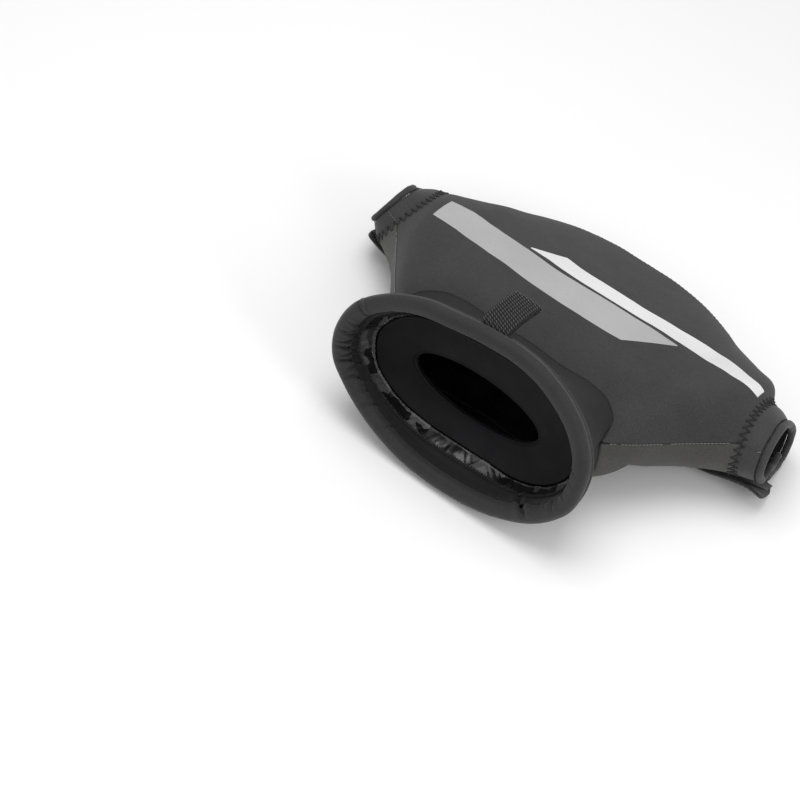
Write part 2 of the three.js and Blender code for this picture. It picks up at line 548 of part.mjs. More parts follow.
// Sleeve hems, open at the closure, with a rolled lip
const HEM = 3.0;
const SLIT = 5;
const TUCK = 6.6;           // the wrist-side end of each hem passes inside the other end by this much
const TUCK_FROM = CLOSURE_SEAM - 360 + 22;
const TUCK_REACH = 48;     // degrees that it runs on past the closure
const hemAngles = [
  ...spread(CLOSURE_SEAM - 360 - TUCK_REACH, TUCK_FROM, 10),
  ...spread(TUCK_FROM, CLOSURE_SEAM - SLIT, 26).slice(1),
];
const tuck = (angle) => {
  const k = clamp((TUCK_FROM - angle) / 26, 0, 1);
  return TUCK * k * k * (3 - 2 * k);
};
const lobe = (angle, middle, half) => {
  const d = ((((angle - middle) % 360) + 540) % 360) - 180;
  return Math.abs(d) < half ? Math.cos((d / half) * Math.PI / 2) ** 2 : 0;
};
for (const name of ['a', 'b']) {
  const f = FRAMES[name];
  const swell = [0, 0.5, 0];
  const { taper, far, low, lip, hide } = SLEEVES[name];
  const run = SLEEVES[name].length - 2 * lip - 0.4;
  const narrow = (angle) => taper + far * lobe(angle, 132, 75) - low * lobe(angle, 212, 45);
  const along = [GAP / 2, run * 0.5, run];
  const wall = (back) => hemAngles.map((angle) => along.map((d, j) => sleevePoint(f, angle, swell[j] * (1 + 2.4 * lobe(angle, 132, 75)) - back - narrow(angle) * (d / run) - tuck(angle), d)));
  put(`sleeve_band_${name}`, closedBody(wall(0), wall(HEM)), BAND);
  put(`sleeve_lip_${name}`, cappedBody(hemAngles.map((angle) => spread(0, 360, 8).slice(0, -1).map((a) => sleevePoint(
    f, angle, -lip + 0.3 - narrow(angle) - hide * lobe(angle, 140, 55) - tuck(angle) + lip * Math.cos(rad(a)), run + 0.4 + lip + lip * Math.sin(rad(a)),
  )))), BAND);
}

// Closure under the shaft: hook tape on the body and a flap over it, from end to end.
const runs = [
  ...spread(SLEEVES.a.length + SLEEVES.a.reach, 1.5, 3).map((d) => ({ sleeve: 'a', d })),
  ...rows.map((s) => ({ s })),
  ...spread(1.5, SLEEVES.b.length + SLEEVES.b.reach, 4).map((d) => ({ sleeve: 'b', d })),
].filter((r) => r.s === undefined || Math.abs(r.s) < END - 2);
function closurePoint(run, w, off) {
  if (run.sleeve) {
    const f = FRAMES[run.sleeve];
    const pace = len(sub(sleevePoint(f, CLOSURE_SEAM + 1, 0, 0), sleevePoint(f, CLOSURE_SEAM - 1, 0, 0))) / 2;
    const angle = CLOSURE_SEAM + w / pace;
    const p = sleevePoint(f, angle, 0, run.d);
    const d = sub(sleevePoint(f, angle + 1, 0, run.d), sleevePoint(f, angle - 1, 0, run.d));
    let n = unit(cross(f.out, d));
    if (dot(n, sub(p, onSleeve(f, [0, 0], run.d))) < 0) n = mul(n, -1);
    return add(p, mul(n, off + 0.5));
  }
  const t0 = splitAt(run.s);
  const pace = len(sub(under(run.s, t0 + STEP), under(run.s, t0 - STEP))) / (2 * STEP);
  const t = t0 - w / pace;
  return add(under(run.s, t), mul(normals.under(run.s, t), off));
}
const droop = (r) => (r.sleeve === 'b' ? 3.4 * clamp((r.d - 6) / 14, 0, 1) ** 2 : 0);
const strip = (ws, off, thick, drop = () => 0, hang = () => 0) => {
  const grid = (extra) => runs.map((r) => ws.map((w) => {
    const [x, y, z] = closurePoint(r, w, off + extra - drop(w) + hang(r));
    return [x, y, Math.max(z, REST)];
  }));
  return closedBody(grid(thick), grid(0));
};
put('closure_tape', strip([-9, -2, 5, 11], 0.5, 1.3), HOOK);
put('closure_flap', strip([-15, -10.4, -3, 5, 13], 2.3, 2.2, (w) => (w < -12 ? 1.7 : 0), droop), PANEL);

// Folded webbing pull at the top of the rim
{
  const start = rimPoint(90, 3, ROLL_RADIUS + 0.9);
  const base = [0, start[1], start[2] + 3.4];
  const path = [[0, 0], [9, 0.8], [20, 0.3], [29.5, -1.2], [33.6, -2.3], [34.6, -4.0], [33.2, -5.2], [28, -4.3], [20, -2.8], [9, -2.0], [0, -2.2]];
  const loops = path.map(([y, z], i) => {
    const before = path[Math.max(0, i - 1)];
    const after = path[Math.min(path.length - 1, i + 1)];
    const d = unit([0, after[0] - before[0], after[1] - before[1]]);
    const n = [0, -d[2], d[1]];
    const at = (x, k) => [x, base[1] + y + n[1] * k, base[2] + z + n[2] * k];
    const w = WEBBING_WIDTH / 2;
    return [at(-w, 0), at(w, 0), at(w, WEBBING), at(-w, WEBBING)];
  });
  put('pull_tab', cappedBody(loops), WEB);
}

// Printed stripes, thin films just above the top panel
function film(rowsOf, corner) {
  const us = spread(0, rowsOf.length - 1, 2 * (rowsOf.length - 1));
  const at = spline(rowsOf.map((r, i) => i), rowsOf.map((r) => [r.ls, r.lt, r.hs, r.ht]), [corner], 4);
  const grid = (off) => us.map((u) => {
    const [ls, lt, hs, ht] = at(u);
    return spread(0, 1, 3).map((k) => {
      const s = lerp(ls, hs, k);
      const t = lerp(lt, ht, k);
      return add(top(s, t), mul(normals.top(s, t), off));
    });
  });
  return closedBody(grid(0.9), grid(0.5));
}
put('stripe_wide', film(STRIPE_WIDE, 14), SILVER);
put('stripe_narrow', film(STRIPE_NARROW, 3), WHITE);

// Stand the mitt on z = 0, centred on its own box.
const box = new THREE.Box3().setFromObject(group);
const shift = [-(box.min.x + box.max.x) / 2, -(box.min.y + box.max.y) / 2, -box.min.z];
for (const child of group.children) child.geometry.translate(...shift);

export default group;
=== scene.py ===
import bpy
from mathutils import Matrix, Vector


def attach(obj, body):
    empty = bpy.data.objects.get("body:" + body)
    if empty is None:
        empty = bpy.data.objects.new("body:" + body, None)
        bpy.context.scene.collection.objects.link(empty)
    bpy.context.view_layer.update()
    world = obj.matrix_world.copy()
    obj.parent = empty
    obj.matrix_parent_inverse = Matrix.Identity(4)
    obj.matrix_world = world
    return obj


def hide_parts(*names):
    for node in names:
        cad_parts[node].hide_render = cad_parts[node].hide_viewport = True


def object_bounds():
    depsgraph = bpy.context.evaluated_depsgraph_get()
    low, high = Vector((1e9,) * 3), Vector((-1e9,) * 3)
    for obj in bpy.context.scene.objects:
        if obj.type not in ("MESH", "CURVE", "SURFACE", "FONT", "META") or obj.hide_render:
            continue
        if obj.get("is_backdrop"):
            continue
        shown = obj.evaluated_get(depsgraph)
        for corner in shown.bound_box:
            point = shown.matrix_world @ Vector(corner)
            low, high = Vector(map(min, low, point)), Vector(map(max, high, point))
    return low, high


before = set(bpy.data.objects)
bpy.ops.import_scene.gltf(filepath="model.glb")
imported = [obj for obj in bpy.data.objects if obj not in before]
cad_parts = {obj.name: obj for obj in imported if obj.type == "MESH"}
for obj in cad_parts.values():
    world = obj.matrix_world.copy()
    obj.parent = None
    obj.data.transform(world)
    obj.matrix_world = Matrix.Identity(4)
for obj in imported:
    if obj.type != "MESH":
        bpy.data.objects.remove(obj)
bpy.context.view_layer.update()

import math

import bmesh
import bpy
import numpy as np
from mathutils import Matrix, Vector


# ---------------------------------------------------------------- the cut of the mitt, millimetres about the shaft line
SHIFT = np.array([-2.0862, 38.5144, 28.5754])
WALL, GAP = 3.0, 0.4
CORNER, RING_ROW = 94.0, 137.0
R1, R2, LEAN = 35.7, 22.8, 158.0
SLEEVES = {
    "a": dict(side=-1, centre=(-138, 0, 1), aim=(-0.88, 0.05, 0.45), length=14, taper=4.5, far=5.5, low=0, lip=1.8, hide=2, reach=-7),
    "b": dict(side=1, centre=(136.5, 0, 0.5), aim=(0.965, 0.13, 0.1), length=18.5, taper=1, far=5, low=3, lip=2.5, hide=0, reach=2.5),
}
WRIST_SEAM, KNUCKLE_SEAM, GUSSET_SEAM, CLOSURE_SEAM = 18.0, 140.0, 192.0, 283.0
CLOSURE_Y, REST = -14.0, -28.3
RIM_CENTRE, RIM_LEAN, ROLL_RADIUS, BAND_WIDTH = (0, -143.5, 30.2), 13.2, 5.6, 14.0

EDGES = [  # s  wx wy wz  kx ky kz  jx jy jz
    (0, 0, -70, 34, 0, 82.6, 2.1, 0, 78.3, -22.5), (28, 25, -71, 33.5, 28, 81.9, 2, 28, 77, -22.5),
    (54, 50, -72.5, 35.5, 54, 77.5, 1, 54, 72.5, -22.5), (74, 66.5, -78.5, 35, 74, 69.5, 0.5, 74, 64.5, -23),
    (86, 75.5, -89, 33, 86, 63, 0.5, 86, 58, -23), (94, 78, -103.6, 29, 95, 58.5, 1, 94, 53.5, -23),
    (106, 92, -86, 25.5, 108, 51, 2, 107, 46.5, -22.5), (120, 110, -60, 21, 123, 41.5, 3.5, 121, 38.5, -20.5)]
TOP_HANDLES = [(0, 36, 8, 0, -42, 20), (2, 36, 8, 0, -42, 20), (5, 34, 7, 0, -40, 22), (12, 27, 8, 0, -36, 26),
               (12, 28, 10, 0, -33, 29), (13, 38, 16, 0, -30, 32), (6, 25, 20, 0, -25, 32), (-2, 14, 22, 1, -15, 29)]
UNDER = [  # wx wy wz  hx hy hz  jx jy jz
    (0, -92, -24.5, 0, 36, 2, 0, -36, -3), (29, -93, -24.5, 0, 36, 2, 0, -36, -3), (55, -95, -22, 3, 35, -1, 0, -34, -3),
    (71.5, -99, -12, 11, 26, -11, 0, -30, -3), (79.5, -102.5, 8, 13.5, 14.5, -29, 0, -28, -3),
    (78, -103.6, 29, 16, 5.6, -46, 0, -26, -4), (92, -86, 25.5, 6, -8, -42.5, 0, -24, -6), (110, -60, 21, 2, -12, -38, 0, -20, -12)]
COLLAR_TOP = [(0, 90, 0, -58, 22), (28, 72, 0, -58, 22), (54, 53, 1, -52, 18), (74, 36, 0, -44, 10), (86, 19, -2, -36, 4), (94, 0, -3, -32, 0)]
COLLAR_UNDER = [(0, -90, 0, -52, 0), (28, -72, 0, -52, 0), (54, -52, 1, -48, -2), (74, -34, 0, -40, -4), (86, -17, -2, -36, -2), (94, 0, -3, -32, 0)]
RIM = [(0, 93, 0), (16, 89, 19), (34, 74, 39), (54, 48, 54.5), (72, 25, 59.5), (90, 0, 59), (108, -25, 55.5),
       (126, -48, 50.5), (146, -72, 38), (164, -89, 20), (180, -94.5, 0), (196, -90, -20), (214, -73, -35.5),
       (234, -48, -49.5), (252, -24, -57), (270, 0, -59.3), (288, 25, -58), (308, 51, -52), (328, 76, -38), (344, 90, -20)]
STRIPE_WIDE = [(-117.37, 0.4525, -115.36, 0.6562), (-107.775, 0.4861, -108.905, 0.6657), (-98.09, 0.4959, -99.82, 0.66), (-93.385, 0.4932, -96.18, 0.653),
                 (-88.13, 0.4749, -92.785, 0.6462), (-82.785, 0.4539, -89.525, 0.638), (-77.685, 0.4325, -85.935, 0.6274), (-69.495, 0.4002, -77.49, 0.597),
                 (-62.26, 0.3758, -68.72, 0.5665), (-44.86, 0.3404, -53.65, 0.5269), (-26.86, 0.3286, -37.73, 0.5064), (-7.79, 0.3185, -21.85, 0.4975),
                 (10.26, 0.3212, -5.87, 0.4968), (27.58, 0.3324, 9.57, 0.5031), (40.695, 0.3398, 22.865, 0.5106), (49.145, 0.4017, 38.585, 0.5176),
                 (57.64, 0.474, 53.755, 0.5301), (65.44, 0.5471, 65.54, 0.5524)]
STRIPE_NARROW = [(-51.74, 0.5426, -51.97, 0.5488), (-44.83, 0.5363, -45.225, 0.5671), (-37.115, 0.5322, -38.28, 0.5908), (-25.935, 0.523, -31.27, 0.6155),
                 (-10.745, 0.5151, -15.745, 0.5988), (7.05, 0.5171, 3.72, 0.5978), (24.27, 0.5264, 21.16, 0.6034), (41.18, 0.5378, 37.915, 0.6149),
                 (57.875, 0.5606, 54.3, 0.6406), (65.82, 0.5799, 62.19, 0.6615), (74.07, 0.6031, 70.005, 0.6863), (79.23, 0.6203, 74.945, 0.7028),
                 (84.785, 0.6382, 80.13, 0.722), (92.38, 0.6521, 86.965, 0.7417), (101.245, 0.653, 95.925, 0.7499), (110.735, 0.6372, 105.895, 0.7412),
                 (119.935, 0.6087, 117.045, 0.7007), (129.185, 0.594, 127.51, 0.7013)]


def arr(x):
    return np.asarray(x, float)


def length(v):
    return np.linalg.norm(v, axis=-1, keepdims=True)


def unit(v):
    return v / np.maximum(length(v), 1e-12)


def dot(a, b):
    return (a * b).sum(-1, keepdims=True)


def smooth(x):
    x = np.clip(x, 0, 1)
    return x * x * (3 - 2 * x)


def lerp(a, b, t):
    return a + (b - a) * t


def spline(knots, values, corners=(), sharp=0):
    """A smooth curve through rows of numbers; the first `sharp` numbers may turn sharply at the corner knots."""
    K, V = arr(knots), arr(values)
    n = len(K)
    slope = (V[1:] - V[:-1]) / (K[1:] - K[:-1])[:, None]
    ahead, behind = np.zeros_like(V), np.zeros_like(V)
    ahead[0] = behind[0] = slope[0]
    ahead[-1] = behind[-1] = slope[-1]
    for i in range(1, n - 1):
        h0, h1 = K[i] - K[i - 1], K[i + 1] - K[i]
        m = (slope[i - 1] * h1 + slope[i] * h0) / (h0 + h1)
        ahead[i], behind[i] = m, m
        if K[i] in corners:
            ahead[i, :sharp] = slope[i, :sharp]
            behind[i, :sharp] = slope[i - 1, :sharp]

    def at(s):
        s = arr(s)
        i = np.searchsorted(K[1:-1], s, side="left")
        h = (K[i + 1] - K[i])[..., None]
        t = (s - K[i])[..., None] / h
        return ((2 * t**3 - 3 * t * t + 1) * V[i] + (t**3 - 2 * t * t + t) * h * ahead[i]
                + (3 * t * t - 2 * t**3) * V[i + 1] + (t**3 - t * t) * h * behind[i + 1])

    return at


def bezier(p, t):
    t = arr(t)[..., None]
    a = 1 - t
    return a**3 * p[..., 0:3] + 3 * a * a * t * p[..., 3:6] + 3 * a * t * t * p[..., 6:9] + t**3 * p[..., 9:12]


# ---------------------------------------------------------------- sleeve ovals
def sleeve_frame(d):
    out = unit(arr(d["aim"]))
    lean = math.radians(LEAN)
    v = np.array([0, math.cos(lean), math.sin(lean)])
    a1 = unit(v - out * (v @ out))
    a2 = np.cross(out, a1) * -d["side"]
    return dict(out=out, a1=a1, a2=a2, centre=arr(d["centre"]), side=d["side"])


FR = {k: sleeve_frame(v) for k, v in SLEEVES.items()}
ARCS = [(WRIST_SEAM, KNUCKLE_SEAM), (KNUCKLE_SEAM, GUSSET_SEAM), (GUSSET_SEAM, WRIST_SEAM + 360)]


def oval_arc(a, b, r1, r2):
    f, g = math.radians(a), math.radians(b)
    k = (4 / 3) * math.tan((g - f) / 4)
    r1, r2 = arr(r1), arr(r2)
    p0 = np.stack([r1 * math.cos(f), r2 * math.sin(f)], -1)
    p3 = np.stack([r1 * math.cos(g), r2 * math.sin(g)], -1)
    p1 = p0 + np.stack([-k * r1 * math.sin(f), k * r2 * math.cos(f)], -1)
    p2 = p3 - np.stack([-k * r1 * math.sin(g), k * r2 * math.cos(g)], -1)
    return [p0, p1, p2, p3]


def oval(angle, grow=0.0):
    angle, grow = np.broadcast_arrays(arr(angle), arr(grow))
    a = (angle - WRIST_SEAM) % 360 + WRIST_SEAM
    out = np.zeros(a.shape + (2,))
    for lo, hi in ARCS:
        m = (a >= lo) & (a <= hi)
        if not m.any():
            continue
        p = oval_arc(lo, hi, R1 + grow[m], R2 + grow[m])
        t = ((a[m] - lo) / (hi - lo))[..., None]
        b = 1 - t
        out[m] = b**3 * p[0] + 3 * b * b * t * p[1] + 3 * b * t * t * p[2] + t**3 * p[3]
    return out


def sleeve_point(name, angle, grow, along):
    f = FR[name]
    p = oval(angle, grow)
    along = arr(along)[..., None] * np.ones(p.shape[:-1] + (1,))
    if name == "a":
        along = along + 2.4 * lobe(arr(angle), 70, 78)[..., None] * np.clip(along / 16, 0, 1.2) ** 1.5
    return f["centre"] + f["out"] * along + p[..., :1] * f["a1"] + p[..., 1:] * f["a2"]


# ---------------------------------------------------------------- body rows
def ring_arc(name, a, b, backward=False):
    f = FR[name]
    pts = [f["centre"] + p[0] * f["a1"] + p[1] * f["a2"] for p in oval_arc(a, b, R1, R2)]
    if backward:
        pts = pts[::-1]
    return np.concatenate(pts)


def body_rows(half, ring):
    S = [e[0] for e in EDGES]
    flip = np.tile([-1.0, 1, 1], 4)
    ks = [-RING_ROW] + [-s for s in S[:0:-1]] + S + [RING_ROW]
    vs = [ring("a")] + [p * flip for p in half[:0:-1]] + list(half) + [ring("b")]
    return ks, vs


def settle(ks, vs, starts):
    out = []
    for s, p in zip(ks, vs):
        q = arr(p).copy()
        if abs(s) != RING_ROW:
            share = max(0, abs(s) - 90) / 30
            y, z = (-3 * share, -3 * share) if s < 0 else (3 * share, 2 * share)
            for i in starts:
                q[i + 1] += y
                q[i + 2] += z
        out.append(q)
    return ks, out


def cat(*p):
    return np.concatenate([arr(x) for x in p])


CORNERS = (-CORNER, CORNER)
_top, _gus, _und = [], [], []
for e, h, u in zip(EDGES, TOP_HANDLES, UNDER):
    w, k, j = arr(e[1:4]), arr(e[4:7]), arr(e[7:10])
    _top.append(cat(w, w + h[:3], k + h[3:], k))
    _gus.append(cat(k, k + (0, 3.5, -7), j + (0, 4.5, 6), j))
    uw = arr(u[:3])
    _und.append(cat(uw, uw + u[3:6], j + u[6:9], j))
top_rows = spline(*settle(*body_rows(_top, lambda n: ring_arc(n, WRIST_SEAM, KNUCKLE_SEAM)), (9, 6)), CORNERS, 3)
gusset_rows = spline(*settle(*body_rows(_gus, lambda n: ring_arc(n, KNUCKLE_SEAM, GUSSET_SEAM)), (0, 3)))
under_rows = spline(*body_rows(_und, lambda n: ring_arc(n, GUSSET_SEAM, WRIST_SEAM + 360, True)), CORNERS, 3)


def top(s, t):
    return bezier(top_rows(s), t)


def gusset(s, t):
    return bezier(gusset_rows(s), t)


def under(s, t):
    return bezier(under_rows(s), t)


def closure_y(s):
    s = arr(s)
    ya = sleeve_point("a", CLOSURE_SEAM, 0, 0)[..., 1]
    yb = sleeve_point("b", CLOSURE_SEAM, 0, 0)[..., 1]
    return lerp(CLOSURE_Y, np.where(s < 0, ya, yb), (np.abs(s) / RING_ROW) ** 2)


def split_at(s):
    s = arr(s)
    lo, hi = np.full(s.shape, 0.25), np.full(s.shape, 0.9)
    for _ in range(30):
        mid = (lo + hi) / 2
        below = under(s, mid)[..., 1] < closure_y(s)
        lo, hi = np.where(below, mid, lo), np.where(below, hi, mid)
    return (lo + hi) / 2


# ---------------------------------------------------------------- rim plane and collar
_l = math.radians(RIM_LEAN)
RIM_UP = np.array([0, math.sin(_l), math.cos(_l)])
RIM_IN = np.array([0, math.cos(_l), -math.sin(_l)])
X = np.array([1.0, 0, 0])


def in_rim(x, h, depth):
    x, h, depth = np.broadcast_arrays(arr(x), arr(h), arr(depth))
    return arr(RIM_CENTRE) + x[..., None] * X + h[..., None] * RIM_UP + depth[..., None] * RIM_IN


_rr = [(a - 360, x, h) for a, x, h in RIM[-3:]] + RIM + [(a + 360, x, h) for a, x, h in RIM[:4]]
_rim = spline([r[0] for r in _rr], [(r[1], r[2]) for r in _rr])


def rim_loop(angle):
    return _rim(arr(angle) % 360)


def rim_out(angle):
    d = rim_loop(arr(angle) + 0.5) - rim_loop(arr(angle) - 0.5)
    return unit(np.stack([d[..., 1], -d[..., 0]], -1))


def rim_point(angle, inset, depth):
    p = rim_loop(angle) - rim_out(angle) * arr(inset)[..., None]
    return in_rim(p[..., 0], p[..., 1], depth)


def collar_rows(rows):
    sign = math.copysign(1, rows[0][1])
    ks = [-r[0] for r in rows[:0:-1]] + [r[0] for r in rows]
    vs = [(180 * sign - r[1], -r[2], r[3], r[4]) for r in rows[:0:-1]] + [r[1:] for r in rows]
    return spline(ks, vs)


def collar_sheet(edge, rows):
    def at(s, v):
        s, v = np.broadcast_arrays(arr(s), arr(v))
        r = rows(s)
        angle, leave = r[..., 0], r[..., 1:]
        p0 = edge(s, np.zeros(s.shape))
        out = rim_out(angle)
        lift = np.maximum(0, out[..., 1])
        side = np.abs(out[..., 0])
        flare = 4 + 52 * lift + 20 * side * (1 - lift)
        run = lerp(lerp(40, 30, side), 22, lift)
        p1 = rim_point(angle, 0.7 + 2.5 * lift, ROLL_RADIUS + 0.4 + WALL * flare / np.hypot(flare, run))
        m1 = (out[..., :1] * flare[..., None]) * X + (out[..., 1:] * flare[..., None]) * RIM_UP - run[..., None] * RIM_IN
        v = v[..., None]
        a = 2 * v**3 - 3 * v * v + 1
        b = v**3 - 2 * v * v + v
        return a * p0 + b * leave + (1 - a) * p1 + (v**3 - v * v) * m1

    return at


collar_top = collar_sheet(top, collar_rows(COLLAR_TOP))
collar_under = collar_sheet(under, collar_rows(COLLAR_UNDER))
SURF = {"top": (top, 1), "gusset": (gusset, 1), "under": (under, -1), "collar_top": (collar_top, -1), "collar_under": (collar_under, 1)}


def normal(name, u, v, du=0.05):
    f, sense = SURF[name]
    u, v = np.broadcast_arrays(arr(u), arr(v))
    a = f(u + du, v) - f(u - du, v)
    b = f(u, v + 1e-3) - f(u, v - 1e-3)
    return unit(np.cross(a, b)) * sense


def mitre(a, b):
    m = unit(a + b)
    return m / np.clip(dot(m, a), 0.72, 1)


E = 0.002
seam_knuckle = lambda s: mitre(normal("top", s, 1 - E), normal("gusset", s, E))
seam_gusset = lambda s: mitre(normal("gusset", s, 1 - E), normal("under", s, 1 - E))
seam_wrist = lambda s: mitre(normal("top", s, E), normal("under", s, E))
seam_neck_top = lambda s: mitre(normal("top", s, E), normal("collar_top", s, E))
seam_neck_under = lambda s: mitre(normal("under", s, E), normal("collar_under", s, E))
_corner = {}
for _side in (-1, 1):
    _corner[_side] = 1.2 * unit(sum(normal(n, _side * (CORNER + (-0.5 if n.startswith("collar") else 0.5)), 0.02)
                                    for n in ("top", "under", "collar_top", "collar_under")))


def corner_blend(s, m, w):
    s = arr(s)
    c = np.where((s < 0)[..., None], _corner[-1], _corner[1])
    w = arr(w)[..., None]
    return m * (1 - w) + c * w


def cornered(seam):
    return lambda s: corner_blend(s, seam(s), np.maximum(0, 1 - np.abs(np.abs(arr(s)) - CORNER) / 9))


_pick = lambda outer, inner: lambda s: np.where((np.abs(arr(s)) >= CORNER)[..., None], outer(s), inner(s))
top_start = cornered(_pick(seam_wrist, seam_neck_top))
under_start = cornered(_pick(seam_wrist, seam_neck_under))
collar_top_start = cornered(seam_neck_top)
collar_under_start = cornered(seam_neck_under)

GASKET_DEPTH = 21.0
GASKET_RING = [(0, 75, -3), (16, 72, 9.5), (34, 61.5, 21), (54, 42.5, 29.8), (72, 22.5, 33), (90, 0, 33), (108, -22, 30.8),
               (126, -42, 27.5), (146, -60, 20.5), (164, -71.5, 8.5), (180, -75.8, -4), (196, -71, -19), (214, -60.5, -28.8),
               (234, -42.5, -35.8), (252, -21, -38.2), (270, 1, -38), (288, 22, -37.3), (308, 43.5, -36.4), (328, 63, -28), (344, 73, -15.5)]
_gg = [(a - 360, x, h) for a, x, h in GASKET_RING[-3:]] + GASKET_RING + [(a + 360, x, h) for a, x, h in GASKET_RING[:4]]
_gasket = spline([r[0] for r in _gg], [(r[1], r[2]) for r in _gg])
HOLE_LOOP = dict(x=-1, h=-5, a=46, b=15, depth=25)


def loop_point(lp, angle, grow, depth):
    r = np.radians(arr(angle))
    return in_rim(lp["x"] + (lp["a"] + grow) * np.cos(r), lp["h"] + (lp["b"] + grow) * np.sin(r), lp["depth"] + arr(depth))


def gasket_point(angle, grow, depth):
    angle, grow, depth = np.broadcast_arrays(arr(angle), arr(grow), arr(depth))
    p = _gasket(angle % 360)
    d = _gasket((angle + 0.5) % 360) - _gasket((angle - 0.5) % 360)
    n = unit(np.stack([d[..., 1], -d[..., 0]], -1))
    p = p + n * grow[..., None]
    return in_rim(p[..., 0], p[..., 1], GASKET_DEPTH + depth)


def facing(angle, v, inward):
    a = rim_point(angle, 2 * ROLL_RADIUS - 1.6 + inward, ROLL_RADIUS + 0.5)
    b = gasket_point(angle, 2.2 - inward, 0)
    v = arr(v)[..., None]
    return a * (1 - v) + b * v


def gasket_at(angle, v, back):
    a, b = gasket_point(angle, 0, back), loop_point(HOLE_LOOP, angle, 0, back)
    v = arr(v)[..., None]
    return a * (1 - v) + b * v


TUCK, TUCK_FROM, TUCK_REACH, SLIT, HEM = 6.6, CLOSURE_SEAM - 360 + 22, 48.0, 5.0, 3.0
LIPS = {"a": 1.8, "b": 2.5}


def tuck(angle):
    return TUCK * smooth((TUCK_FROM - arr(angle)) / 26)



def lobe(angle, middle, half):
    d = (arr(angle) - middle + 540) % 360 - 180
    return np.where(np.abs(d) < half, np.cos(d / half * np.pi / 2) ** 2, 0)


def narrow(name, angle):
    s = SLEEVES[name]
    return s["taper"] + s["far"] * lobe(angle, 132, 75) - s["low"] * lobe(angle, 212, 45)
# ---------------------------------------------------------------- building kit
def noise(P, size, seed):
    """Smooth value noise, -1 to 1, with features of about `size` millimetres."""
    table = np.random.RandomState(seed).rand(24, 24, 24) * 2 - 1
    q = P / size + 100.37
    i = np.floor(q).astype(int)
    f = q - i
    f = f * f * (3 - 2 * f)
    out = 0
    for dx in (0, 1):
        for dy in (0, 1):
            for dz in (0, 1):
                w = (f[..., 0] if dx else 1 - f[..., 0]) * (f[..., 1] if dy else 1 - f[..., 1]) * (f[..., 2] if dz else 1 - f[..., 2])
                out = out + w * table[(i[..., 0] + dx) % 24, (i[..., 1] + dy) % 24, (i[..., 2] + dz) % 24]
    return out


def ripple(P):
    """How far the foam stands off its cut shape, in millimetres: broad soft waves and shallow puckers."""
    return 0.2 * noise(P, 34, 1) + 0.09 * noise(P, 13, 2) + 0.05 * noise(P, 5, 3)


def frame_m(P):
    return (P + SHIFT) * 0.001


def add_mesh(name, P, faces, mats, uv=None, slots=None, flat=False):
    me = bpy.data.meshes.new(name)
    P = frame_m(np.asarray(P, float).reshape(-1, 3))
    faces = np.asarray(faces, np.int32)
    c = P - P.mean(0)
    if np.einsum("ij,ij->i", c[faces[:, 0]], np.cross(c[faces[:, 1]], c[faces[:, 2]]) + (np.cross(c[faces[:, 2]], c[faces[:, 3]]) if faces.shape[1] == 4 else 0)).sum() < 0:
        faces = faces[:, ::-1].copy()
    n, k = faces.shape
    me.vertices.add(len(P))
    me.vertices.foreach_set("co", P.astype(np.float32).ravel())
    me.loops.add(n * k)
    me.loops.foreach_set("vertex_index", faces.ravel())
    me.polygons.add(n)
    me.polygons.foreach_set("loop_start", np.arange(0, n * k, k, dtype=np.int32))
    me.polygons.foreach_set("use_smooth", np.full(n, not flat))
    for m in mats if isinstance(mats, (list, tuple)) else [mats]:
        me.materials.append(m)
    if slots is not None:
        me.polygons.foreach_set("material_index", np.asarray(slots, np.int32))
    if uv is not None:
        layer = me.uv_layers.new(name="cloth")
        layer.data.foreach_set("uv", np.asarray(uv, np.float32).reshape(-1, 2)[faces.ravel()].ravel())
    me.update(calc_edges=True)
    me.validate(clean_customdata=False)
    o = bpy.data.objects.new(name, me)
    bpy.context.scene.collection.objects.link(o)
    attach(o, "root")
    return o


def grid_faces(nu, nv, base=0, wrap_u=False, wrap_v=False, flip=False):
    i = np.arange(nu if wrap_u else nu - 1)[:, None]
    j = np.arange(nv if wrap_v else nv - 1)[None, :]
    i1, j1 = (i + 1) % nu, (j + 1) % nv
    q = np.stack(np.broadcast_arrays(i * nv + j, i1 * nv + j, i1 * nv + j1, i * nv + j1), -1).reshape(-1, 4) + base
    return q[:, ::-1] if flip else q


def run_of(G):
    """Millimetres along both directions of a grid of points."""
    du = np.concatenate([np.zeros((1, G.shape[1])), np.cumsum(np.linalg.norm(np.diff(G, axis=0), axis=-1), 0)])
    dv = np.concatenate([np.zeros((G.shape[0], 1)), np.cumsum(np.linalg.norm(np.diff(G, axis=1), axis=-1), 1)], 1)
    return np.stack([du, dv], -1)


